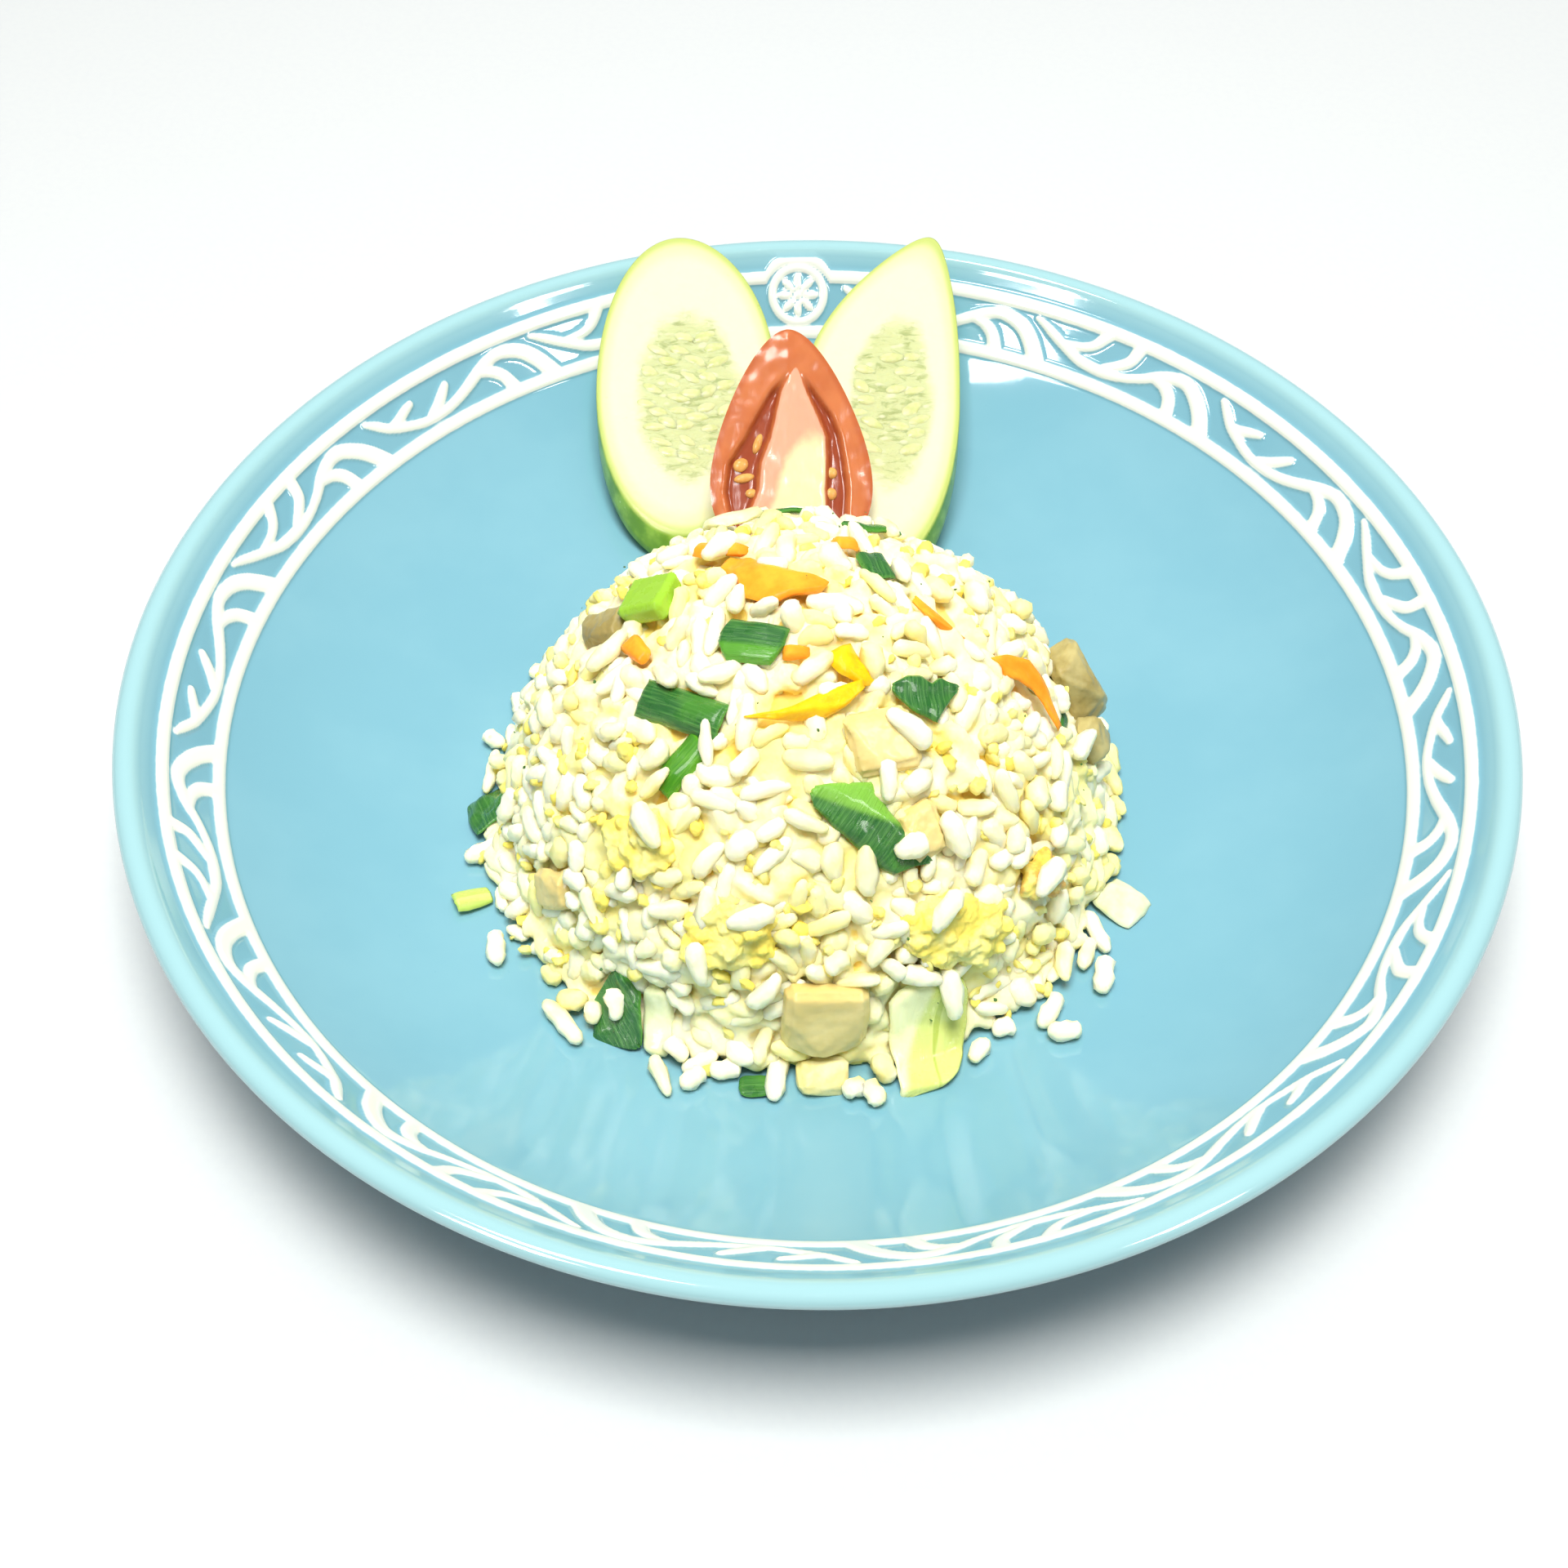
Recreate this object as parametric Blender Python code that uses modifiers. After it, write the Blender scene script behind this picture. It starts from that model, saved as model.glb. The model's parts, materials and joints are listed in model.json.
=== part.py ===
"""Fried rice turned out of a bowl onto a round stoneware plate, with its toppings and garnish.

Units are metres, +Z is up, the plate stands on Z = 0 and its turning axis is Z. The near side, where
an eater sits, is -Y. Sizes below are written in millimetres times MM.

The rice is a dome of packed grains. Toppings are laid on the dome's bare core, and the grains that
show are drawn at random round them, so that no grain runs into a topping.
"""

import math
import random
from dataclasses import dataclass

import bmesh
import bpy
from mathutils import Matrix, Vector, noise
from mathutils.bvhtree import BVHTree

MM = 0.001
GAP = 0.35 * MM  # clearance between pieces that rest on each other

# Plate
PLATE_RADIUS = 115 * MM
PLATE_HEIGHT = 34 * MM
FLOOR_TOP = 9.5 * MM
FLOOR_RADIUS = 60 * MM
INNER_LINE = (99.65 * MM, 21.6 * MM)
OUTER_LINE = (108.4 * MM, 30.76 * MM)
RIM_TOP_RADIUS = 112.7 * MM
LINE_WIDTH = 1.4 * MM
LINE_RELIEF = 0.45 * MM
WALL = 5 * MM
FOOT_RADII = (57 * MM, 61.5 * MM)
FOOT_HEIGHT = 3.5 * MM
PLATE_STEPS = 64

# Rice dome, outside its grains; the core lies GRAIN_COVER under it
DOME_CENTRE = Vector((-2 * MM, -12.5 * MM, 0))
DOME_HEIGHT = 55 * MM
DOME_RADIUS = 50.5 * MM
DOME_POWER = 0.62
GRAIN_COVER = 2.2 * MM
SKIRT_WIDTH = 4.5 * MM
SKIRT_HEIGHT = 3.5 * MM
CORE_BUMP = 1.3 * MM
CORE_LEVELS = 4

# Grains
GRAIN_LENGTH = (6.6 * MM, 9.6 * MM)
GRAIN_WIDTH = (2.7 * MM, 3.3 * MM)
DOME_GRAINS = 560  # tried; those that crowd another piece are left out
SKIRT_GRAINS = 260
DOME_SPACING = 6.3 * MM
SKIRT_SPACING = 6 * MM
SEED = 41
HALF_THICKEST = 3 * MM  # a point deeper than this can't be inside a topping

# Garnish behind the dome
CUCUMBER_THICKNESS = 5 * MM
CUCUMBER_LEAN = 0.85  # how far the rind leans out under the upper face, as a share of the thickness
CUCUMBER_SLOPE = math.radians(22)
TOMATO_SLOPE = math.radians(42)
TOMATO_TURN = math.radians(3)
TOMATO_SIZE = (40 * MM, 14.9 * MM, 7 * MM, 2.2 * MM)  # length, half width, depth of the skin side, ridge
TOMATO_MIDDLE = (-5.4 * MM, 56 * MM, 33.2 * MM)
TOMATO_WEIGHT = 2.07  # how far down the wedge is widest; 1 is its middle
TOMATO_BLUNTNESS = 0.27  # 0 is a brick, 1 is a spindle


# ---------------------------------------------------------------- shapes that carry other pieces


def wall_arc():
    """Radius and sweep of the arc that lifts the plate's flat floor to the inner ring line."""
    run = INNER_LINE[0] - FLOOR_RADIUS
    rise = INNER_LINE[1] - FLOOR_TOP
    sweep = 2 * math.atan2(rise, run)
    return run / math.sin(sweep), sweep


def plate_surface(radius):
    """Height of the plate's upper face at a distance from its axis."""
    if radius <= FLOOR_RADIUS:
        return FLOOR_TOP
    if radius <= INNER_LINE[0]:
        arc_radius, _ = wall_arc()
        lean = math.asin((radius - FLOOR_RADIUS) / arc_radius)
        return FLOOR_TOP + arc_radius * (1 - math.cos(lean))
    slope = (OUTER_LINE[1] - INNER_LINE[1]) / (OUTER_LINE[0] - INNER_LINE[0])
    return INNER_LINE[1] + slope * (radius - INNER_LINE[0])


def dome_radius(height, cover=GRAIN_COVER):
    """Radius of the rice at a height over the plate's floor, less the cover, with its skirt."""
    top = DOME_HEIGHT - cover
    share = min(max(height / top, 0), 1)
    body = (DOME_RADIUS - cover) * (1 - share * share) ** DOME_POWER
    return body + SKIRT_WIDTH * math.exp(-((height / SKIRT_HEIGHT) ** 2))


def is_solid(point):
    """Whether a point is inside the plate or the bare rice core."""
    if point.z < plate_surface(math.hypot(point.x, point.y)):
        return True
    height = point.z - FLOOR_TOP
    if height > DOME_HEIGHT - GRAIN_COVER:
        return False
    return (point - DOME_CENTRE).xy.length < dome_radius(height)


def landing(point, direction, before=9 * MM, after=26 * MM, step=0.5 * MM):
    """Where a point that comes in along a direction meets the core or the plate, and which way is out.

    A point that comes in sideways under the plate's face lies on it instead, as far out as it is deep.
    """
    floor = plate_surface(math.hypot(point.x, point.y))
    if point.z < floor and direction.z > -0.99:
        side = (point - DOME_CENTRE).xy.normalized()
        reach = dome_radius(0) + floor - point.z
        place = DOME_CENTRE + Vector((side.x * reach, side.y * reach, 0))
        place.z = plate_surface(place.xy.length)
        return place, Vector((0, 0, 1))
    travelled = -before
    while travelled < after and not is_solid(point + direction * travelled):
        travelled += step
    above, below = travelled - step, travelled
    for _ in range(16):
        middle = (above + below) / 2
        if is_solid(point + direction * middle):
            below = middle
        else:
            above = middle
    return point + direction * above, -direction


def dome_anchor(bearing, fall):
    """Place and outward direction on the core, from a bearing and an angle down from its top.

    Past 90 degrees the place is on the plate, one millimetre farther out for each degree.
    """
    base = DOME_CENTRE + Vector((0, 0, FLOOR_TOP))
    turn = math.radians(bearing)
    if fall > 90:
        reach = dome_radius(0) + (fall - 90) * MM
        place = DOME_CENTRE + Vector((math.cos(turn), math.sin(turn), 0)) * reach
        place.z = plate_surface(place.xy.length)
        return place, Vector((0, 0, 1))

    def seen_along(lean):
        outward = Vector((math.sin(lean) * math.cos(turn), math.sin(lean) * math.sin(turn), math.cos(lean)))
        far = DOME_HEIGHT + 5 * MM
        return landing(base + outward * far, -outward, before=0, after=far)[0]

    lean = math.radians(fall)
    place = seen_along(lean)
    level = Vector((-math.sin(turn), math.cos(turn), 0))
    down_slope = seen_along(lean + math.radians(2)) - seen_along(lean - math.radians(2))
    normal = level.cross(down_slope).normalized()
    return place, normal if normal.dot(place - base) > 0 else -normal


def rested(point, normal, rise):
    """A point of a piece, set down on what is under it and raised by its height in the piece."""
    place, outward = landing(point, -normal)
    place += outward * (GAP + rise)
    place.z = max(place.z, plate_surface(math.hypot(place.x, place.y)) + GAP)
    return place


def surface_frame(bearing, fall, spin):
    """Matrix at a place on the core: X along the piece, Z away from the rice. Spin 0 lies level."""
    place, normal = dome_anchor(bearing, fall)
    turn = math.radians(bearing)
    level = Vector((-math.sin(turn), math.cos(turn), 0))
    up_slope = normal.cross(level).normalized()
    angle = math.radians(spin)
    along = level * math.cos(angle) + up_slope * math.sin(angle)
    across = normal.cross(along).normalized()
    return Matrix((along, across, normal)).transposed().to_4x4(), place


# ---------------------------------------------------------------- scene helpers


def clear_scene():
    for obj in list(bpy.data.objects):
        bpy.data.objects.remove(obj, do_unlink=True)


def new_collection(name):
    collection = bpy.data.collections.new(name)
    bpy.context.scene.collection.children.link(collection)
    return collection


def new_material(name, colour, roughness):
    material = bpy.data.materials.new(name)
    material.use_nodes = True
    shader = material.node_tree.nodes["Principled BSDF"]
    shader.inputs["Base Color"].default_value = (*colour, 1)
    shader.inputs["Roughness"].default_value = roughness
    shader.inputs["Metallic"].default_value = 0
    return material


def object_from(name, shape, collection, material):
    """New object from a bmesh, which is freed."""
    mesh = bpy.data.meshes.new(name)
    shape.to_mesh(mesh)
    shape.free()
    mesh.materials.append(material)
    obj = bpy.data.objects.new(name, mesh)
    collection.objects.link(obj)
    return obj


def apply_modifiers(obj):
    """Bakes the object's modifiers into its mesh."""
    graph = bpy.context.evaluated_depsgraph_get()
    graph.update()
    mesh = bpy.data.meshes.new_from_object(obj.evaluated_get(graph))
    obj.modifiers.clear()
    obj.data = mesh


# ---------------------------------------------------------------- plate


def ring_line(radius, height, slope):
    """Four points across a raised ring line, from its inner foot to its outer foot."""
    along = Vector((math.cos(slope), math.sin(slope)))
    out = Vector((-math.sin(slope), math.cos(slope)))
    foot = Vector((radius, height))
    edges = ((0, 0), (0.25, 1), (0.75, 1), (1, 0))
    return [tuple(foot + along * LINE_WIDTH * share + out * LINE_RELIEF * lift) for share, lift in edges]


def plate_profile():
    """Half section of the plate, from the middle of its upper face out and back under its foot."""
    arc_radius, sweep = wall_arc()
    slope = math.atan2(OUTER_LINE[1] - INNER_LINE[1], OUTER_LINE[0] - INNER_LINE[0])
    points = [(0, FLOOR_TOP)]
    arc_steps = 5
    for i in range(arc_steps):
        lean = sweep * i / arc_steps
        points.append((FLOOR_RADIUS + arc_radius * math.sin(lean),
                       FLOOR_TOP + arc_radius * (1 - math.cos(lean))))
    outer_start = (OUTER_LINE[0] - LINE_WIDTH * math.cos(slope), OUTER_LINE[1] - LINE_WIDTH * math.sin(slope))
    points += ring_line(*INNER_LINE, slope)
    points += ring_line(*outer_start, slope)
    lip_centre = (RIM_TOP_RADIUS - 0.6 * MM, PLATE_HEIGHT - 2.4 * MM)
    lip_radius = PLATE_HEIGHT - lip_centre[1]
    for degrees in (100, 60, 20, -20):
        turn = math.radians(degrees)
        points.append((lip_centre[0] + (PLATE_RADIUS - lip_centre[0]) * math.cos(turn),
                       lip_centre[1] + lip_radius * math.sin(turn)))
    points.append((OUTER_LINE[0] + 3.2 * MM, OUTER_LINE[1] - 4.4 * MM))
    points.append((INNER_LINE[0] + 3.4 * MM, INNER_LINE[1] - 4.6 * MM))
    for radius in (88 * MM, 74 * MM):
        points.append((radius + 1.5 * MM, plate_surface(radius) - WALL * 0.96))
    points.append((FOOT_RADII[1] + 1 * MM, FOOT_HEIGHT))
    points.append((FOOT_RADII[1] - 0.8 * MM, 0))
    points.append((FOOT_RADII[0] + 0.8 * MM, 0))
    points.append((FOOT_RADII[0], FOOT_HEIGHT + 0.5 * MM))
    points.append((0, FOOT_HEIGHT + 0.5 * MM))
    return points


def make_plate(collection, material):
    """Turned plate: a Screw modifier on its half section."""
    shape = bmesh.new()
    verts = [shape.verts.new((radius, 0, height)) for radius, height in plate_profile()]
    for start, end in zip(verts, verts[1:]):
        shape.edges.new((start, end))
    obj = object_from("plate", shape, collection, material)
    screw = obj.modifiers.new("turn", "SCREW")
    screw.axis = "Z"
    screw.steps = screw.render_steps = PLATE_STEPS
    screw.use_merge_vertices = True
    screw.merge_threshold = 1e-5
    screw.use_smooth_shade = True
    return obj


# ---------------------------------------------------------------- garnish behind the dome


@dataclass
class Slice:
    """A bias-cut cucumber slice: its middle, size and turn, and how its upper end is narrowed and shifted."""

    name: str
    middle: tuple
    length: float
    width: float
    turn: float
    tip: float
    tip_side: float


SLICES = (
    Slice("cucumber_left", (-25.8 * MM, 79.3 * MM, 25.5 * MM), 65 * MM, 34.5 * MM, 1, 0.10, -0.25),
    Slice("cucumber_right", (11.4 * MM, 74.7 * MM, 27 * MM), 71 * MM, 30 * MM, 0, 0.25, 0.43),
)


def make_slice(piece, collection, material):
    """Flat oval cut across a cucumber at a slant, so that its rind leans out at the lower end."""
    shape = bmesh.new()
    bmesh.ops.create_cone(shape, cap_ends=True, cap_tris=False, segments=32, radius1=1, radius2=1, depth=1)
    for vert in shape.verts:
        across, along, level = vert.co
        upper = max(along, 0)
        narrowing = 1 - piece.tip * upper**2.5
        shift = piece.tip_side * upper**2
        lean = (0.5 - level) * CUCUMBER_THICKNESS * CUCUMBER_LEAN
        vert.co = Vector(((across * narrowing + shift) * piece.width / 2,
                          along * piece.length / 2 - lean, level * CUCUMBER_THICKNESS))
    place = Matrix.Translation(piece.middle) @ Matrix.Rotation(math.radians(piece.turn), 4, "Z")
    bmesh.ops.transform(shape, matrix=place @ Matrix.Rotation(CUCUMBER_SLOPE, 4, "X"), verts=shape.verts)
    obj = object_from(piece.name, shape, collection, material)
    bevel = obj.modifiers.new("rounded rind", "BEVEL")
    bevel.width = 0.7 * MM
    bevel.segments = 1
    bevel.limit_method = "ANGLE"
    return obj


def make_tomato(collection, material):
    """Plum tomato wedge: a domed skin side, and two cut faces that meet in a low ridge."""
    length, half_width, depth, ridge = TOMATO_SIZE
    shape = bmesh.new()
    bmesh.ops.create_uvsphere(shape, u_segments=20, v_segments=12, radius=1)
    for vert in shape.verts:
        across, level, along = vert.co
        spread = math.sqrt(max(1 - along * along, 1e-9))
        side, height = across / spread, level / spread
        lower = (1 - along) / 2
        girth = 0 if spread < 1e-3 else math.sin(math.pi * lower**TOMATO_WEIGHT) ** TOMATO_BLUNTNESS
        if height > 0:
            rise = ridge * (1 - abs(side)) * girth
        else:
            rise = height * depth * girth
        vert.co = Vector((side * half_width * girth, along * length / 2, rise))
    bmesh.ops.reverse_faces(shape, faces=shape.faces)
    place = Matrix.Translation(TOMATO_MIDDLE) @ Matrix.Rotation(TOMATO_TURN, 4, "Z")
    bmesh.ops.transform(shape, matrix=place @ Matrix.Rotation(TOMATO_SLOPE, 4, "X"), verts=shape.verts)
    return object_from("tomato_wedge", shape, collection, material)


# ---------------------------------------------------------------- toppings on the dome


@dataclass
class Leaf:
    """A thin piece laid over the rice: where it lies, its size, and how it is bent and rippled."""

    name: str
    finish: str
    bearing: float
    fall: float
    spin: float
    length: float
    width: float
    thickness: float = 0.9 * MM
    bend: float = 0
    taper: float = 0
    ripple: float = 0.3 * MM
    lift: float = 0
    roll: float = 0


@dataclass
class Chunk:
    """A thick piece pressed into the rice: where it lies, its size and how square its outline is."""

    name: str
    finish: str
    bearing: float
    fall: float
    spin: float
    length: float
    width: float
    height: float
    square: float = 0.75
    lumps: float = 0.5 * MM


LEAVES = (
    Leaf("scallion_roll", "scallion", -133, 12, 30, 9 * MM, 6.5 * MM, roll=0.9 * MM),
    Leaf("scallion_bent", "scallion", -139, 29, 21, 14.5 * MM, 4.2 * MM, bend=18),
    Leaf("scallion_tail", "scallion", -128, 36, 77, 10 * MM, 4.7 * MM, taper=0.25),
    Leaf("scallion_fold", "scallion", -36, 26.5, -40, 9.5 * MM, 6.2 * MM, roll=1.1 * MM, taper=0.3),
    Leaf("scallion_crest", "scallion", 38, 15, -20, 6.5 * MM, 5 * MM, roll=1.3 * MM),
    Leaf("scallion_broad", "scallion", -71.5, 41.5, -48, 17.5 * MM, 6 * MM, bend=-22, roll=0.6 * MM),
    Leaf("scallion_foot_left", "scallion", -124, 87.5, -54, 11 * MM, 8.2 * MM, roll=0.6 * MM),
    Leaf("scallion_foot_front", "scallion", -96.5, 92.5, 8, 5 * MM, 3.8 * MM),
    Leaf("scallion_side_left", "scallion", -178, 90.5, -14, 6.7 * MM, 5.5 * MM, lift=1.5 * MM),
    Leaf("scallion_side_right", "scallion", 0, 59.5, -5, 4.5 * MM, 2.6 * MM),
    Leaf("scallion_sliver_left", "scallion", 97, 44, 0, 9.5 * MM, 4 * MM, taper=0.5),
    Leaf("scallion_sliver_right", "scallion", 67, 32, 46, 11.5 * MM, 3.4 * MM, taper=0.5),
    Leaf("leaf_pale", "scallion_pale", -159.5, 95, -86, 6.2 * MM, 4.5 * MM, taper=0.3, lift=1 * MM),
    Leaf("petal_green", "petal", -66.5, 88, 80, 21.5 * MM, 11.5 * MM, thickness=1.3 * MM, taper=0.15, lift=0.8 * MM),
    Leaf("onion_top", "onion", 112, 39, -6, 10 * MM, 6.5 * MM, thickness=1.6 * MM),
    Leaf("onion_foot_left", "onion", -115.5, 86, -76, 12.5 * MM, 4.5 * MM, thickness=1.5 * MM),
    Leaf("onion_right", "onion", -19, 93.5, 89, 6.5 * MM, 5.8 * MM, thickness=1.2 * MM, lift=1 * MM),
    Leaf("carrot_back", "carrot", 136, 20, -81, 11 * MM, 3.2 * MM, thickness=1.6 * MM, taper=0.3),
    Leaf("carrot_broad", "carrot", 155, 6, 84, 13.5 * MM, 5.3 * MM, thickness=1.7 * MM, bend=20),
    Leaf("carrot_small", "carrot", 66, 16.5, 46, 4.2 * MM, 2.4 * MM, thickness=1.4 * MM),
    Leaf("carrot_left", "carrot", -172, 30, 27, 6.5 * MM, 3.8 * MM, thickness=1.6 * MM, taper=0.3),
    Leaf("carrot_short", "carrot", -95, 11.5, 5, 3.6 * MM, 2.4 * MM, thickness=1.4 * MM),
    Leaf("carrot_long", "carrot", 0, 36, 78, 32 * MM, 2.8 * MM, thickness=1.5 * MM, taper=0.2),
    Leaf("egg_strip_upper", "yolk", -62, 15, -87, 5 * MM, 2.4 * MM, thickness=1.5 * MM),
    Leaf("egg_strip_lower", "yolk", -85, 20, 2, 14 * MM, 2.4 * MM, thickness=1.4 * MM, bend=-16, taper=0.3),
)

CHUNKS = (
    Chunk("scallion_pale", "scallion_pale", 166, 28, -6, 8.2 * MM, 9 * MM, 3.4 * MM, 0.85, 0.1 * MM),
    Chunk("mushroom_left", "mushroom", 169, 39.5, 73, 10.5 * MM, 4.8 * MM, 3.2 * MM),
    Chunk("mushroom_right", "mushroom", 14, 65, 70, 13 * MM, 8.5 * MM, 6.2 * MM),
    Chunk("mushroom_low", "mushroom", 4, 70, 78, 8 * MM, 5.5 * MM, 4 * MM),
    Chunk("meat_top", "meat", -61, 29, -10, 8.7 * MM, 5.4 * MM, 3.2 * MM),
    Chunk("meat_middle", "meat", -57, 45.5, 0, 5.8 * MM, 5 * MM, 3.2 * MM),
    Chunk("meat_foot", "meat", -85, 77, -4, 13.7 * MM, 13 * MM, 4.8 * MM),
    Chunk("meat_front", "meat_pale", -85.5, 91, -3, 8.8 * MM, 5.5 * MM, 3 * MM),
    Chunk("meat_left", "meat", -144.5, 73, 38, 8.6 * MM, 6.6 * MM, 2.8 * MM),
    Chunk("egg_left", "egg", -128, 51.5, 35, 11.2 * MM, 7.8 * MM, 3.4 * MM, 0.7, 1.2 * MM),
    Chunk("egg_front", "egg", -103.5, 61.5, 7, 13.2 * MM, 9.6 * MM, 3.4 * MM, 0.7, 1.3 * MM),
    Chunk("egg_right", "egg", -58, 65.5, -30, 17 * MM, 10.5 * MM, 4 * MM, 0.7, 1.3 * MM),
    Chunk("egg_browned", "egg_brown", -35, 68, -26, 9.4 * MM, 6 * MM, 3.4 * MM, 0.7, 1 * MM),
)


def make_leaf(piece, collection, material):
    """A strip whose underside follows the rice: a draped grid that Solidify gives its thickness."""
    frame, place = surface_frame(piece.bearing, piece.fall, piece.spin)
    normal = frame.to_3x3().col[2].copy()
    columns = max(3, round(piece.length / (3.2 * MM)))
    rows = max(2, round(piece.width / (3.2 * MM)))
    shape = bmesh.new()
    bmesh.ops.create_grid(shape, x_segments=columns, y_segments=rows, size=0.5)
    for vert in shape.verts:
        along, across = vert.co.x, vert.co.y
        width = piece.width * (1 - piece.taper * (along + 0.5))
        arc = math.radians(piece.bend) * along * 2
        x = piece.length * along * math.cos(arc / 2)
        y = across * width + piece.length * along * math.sin(arc / 2)
        wave = 0.5 + 0.5 * math.sin(9 * along + 4 * across + piece.bearing)
        rise = piece.ripple * wave + piece.roll * (2 * across) ** 2 + piece.lift * (along + 0.5)
        vert.co = rested(place + frame.to_3x3() @ Vector((x, y, 0)), normal, rise)
    bmesh.ops.triangulate(shape, faces=shape.faces)
    for face in shape.faces:
        face.normal_update()
        if face.normal.dot(normal) < 0:
            face.normal_flip()
    obj = object_from(piece.name, shape, collection, material)
    solidify = obj.modifiers.new("thickness", "SOLIDIFY")
    solidify.thickness = piece.thickness
    solidify.offset = 1
    return obj


def make_chunk(piece, collection, material):
    """A rounded block that keeps its full height over the rice wherever the surface curves."""
    frame, place = surface_frame(piece.bearing, piece.fall, piece.spin)
    turn = frame.to_3x3()
    normal = turn.col[2].copy()
    shape = bmesh.new()
    bmesh.ops.create_icosphere(shape, subdivisions=2, radius=1)
    for vert in shape.verts:
        point = vert.co.copy()
        for axis in range(3):
            point[axis] = math.copysign(abs(point[axis]) ** piece.square, point[axis])
        flat = place + turn @ Vector((point.x * piece.length / 2, point.y * piece.width / 2, 0))
        lump = piece.lumps * noise.noise(vert.co * 1.7 + Vector((piece.bearing, piece.fall, 0)))
        rise = piece.height * (point.z + 1) / 2 + max(lump, -0.4 * piece.height) * (point.z + 1) / 2
        vert.co = rested(flat, normal, rise)
    return object_from(piece.name, shape, collection, material)


# ---------------------------------------------------------------- rice


def make_core(collection, material):
    """The packed rice under the grains: a sphere cut flat and pulled to the dome's section."""
    shape = bmesh.new()
    bmesh.ops.create_icosphere(shape, subdivisions=CORE_LEVELS, radius=1)
    low = math.radians(4)
    cut = bmesh.ops.bisect_plane(shape, geom=shape.verts[:] + shape.edges[:] + shape.faces[:],
                                 plane_co=(0, 0, math.sin(low)), plane_no=(0, 0, 1), clear_inner=True)
    rim = [item for item in cut["geom_cut"] if isinstance(item, bmesh.types.BMEdge)]
    bmesh.ops.edgeloop_fill(shape, edges=rim)
    base = DOME_CENTRE + Vector((0, 0, FLOOR_TOP))
    for vert in shape.verts:
        direction = vert.co.normalized()
        lean = math.acos(min(max(direction.z, -1), 1))
        share = max(math.cos(lean) - math.sin(low), 0) / (1 - math.sin(low))
        height = (DOME_HEIGHT - GRAIN_COVER) * share
        radius = dome_radius(height) if share < 0.9999 else 0
        bump = CORE_BUMP * (0.5 + 0.5 * noise.noise(direction * 7.0))
        level = height - bump * share if share > 0 else 0
        side = direction.xy.normalized() if direction.xy.length > 1e-6 else Vector((0, 0))
        spread = max(radius - bump, 0)
        vert.co = base + Vector((side.x * spread, side.y * spread, 2 * GAP + level))
    bmesh.ops.dissolve_degenerate(shape, dist=1e-5, edges=shape.edges)
    bmesh.ops.triangulate(shape, faces=shape.faces)
    return object_from("rice_heap", shape, collection, material)


def grain_mesh(length, width):
    """One cooked grain with few sides: a long five-sided spindle with blunt ends."""
    shape = bmesh.new()
    bmesh.ops.create_uvsphere(shape, u_segments=5, v_segments=4, radius=0.5)
    for vert in shape.verts:
        along = vert.co.z * 2
        fill = 1.12 if abs(along) < 0.9 else 1
        vert.co = Vector((vert.co.x * width * fill, vert.co.y * width * fill, along * length / 2))
    return shape


def tree_of(objects):
    """One search tree over the evaluated meshes of several objects, in world space."""
    graph = bpy.context.evaluated_depsgraph_get()
    graph.update()
    joined = bmesh.new()
    for obj in objects:
        mesh = obj.evaluated_get(graph).to_mesh()
        joined.from_mesh(mesh)
    tree = BVHTree.FromBMesh(joined)
    joined.free()
    return tree


def stands_clear(middle, along, length, width, toppings):
    """Whether a grain keeps its gap to the toppings and to the plate."""
    for share in (-0.5, -0.25, 0, 0.25, 0.5):
        point = middle + along * length * share
        if point.z - width * 0.6 < plate_surface(math.hypot(point.x, point.y)) + 2 * GAP:
            return False
        nearest, facing, _, distance = toppings.find_nearest(point)
        if nearest is None:
            continue
        inside = (point - nearest).dot(facing) < 0
        if distance < width * 0.62 + GAP or (inside and distance < HALF_THICKEST):
            return False
    return True


def grain_places(draw, toppings):
    """Middle, direction, length and width of each grain that shows on the dome and its skirt."""
    places = []

    def crowded(middle, spacing):
        return any((middle - other[0]).length < spacing for other in places)

    def offer(place, normal, spacing, tilt, sink):
        """Turns a grain at a place until it fits between its neighbours, shorter at each try."""
        width = draw.uniform(*GRAIN_WIDTH)
        middle = place + normal * width * sink
        if crowded(middle, spacing):
            return
        side = normal.cross(Vector((0, 0, 1)) if abs(normal.z) < 0.9 else Vector((1, 0, 0))).normalized()
        for shorter in (1, 0.95, 0.9, 0.85, 0.8, 0.75):
            length = draw.uniform(*GRAIN_LENGTH) * shorter
            along = Matrix.Rotation(draw.uniform(0, math.pi), 3, normal) @ side
            along = (along + normal * draw.uniform(-tilt, tilt)).normalized()
            if stands_clear(middle, along, length, width, toppings):
                places.append((middle, along, length, width))
                return

    for _ in range(SKIRT_GRAINS):
        turn = draw.uniform(0, 2 * math.pi)
        out = Vector((math.cos(turn), math.sin(turn), 0))
        place = DOME_CENTRE + out * (dome_radius(0) + draw.uniform(-2.2, 2.6) * MM)
        place.z = plate_surface(place.xy.length) + draw.uniform(2.6, 4.4) * MM
        offer(place, Vector((0, 0, 1)), SKIRT_SPACING, 0.25, 0)
    golden = math.pi * (3 - math.sqrt(5))
    for i in draw.sample(range(DOME_GRAINS), DOME_GRAINS):
        fall = math.degrees(math.acos(1 - (i + 0.5) / DOME_GRAINS * 0.93))
        bearing = math.degrees(i * golden) + draw.uniform(-4, 4)
        place, normal = dome_anchor(bearing, fall)
        offer(place, normal, DOME_SPACING, 0.35, draw.uniform(0.0, 0.4))
    return places


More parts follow.
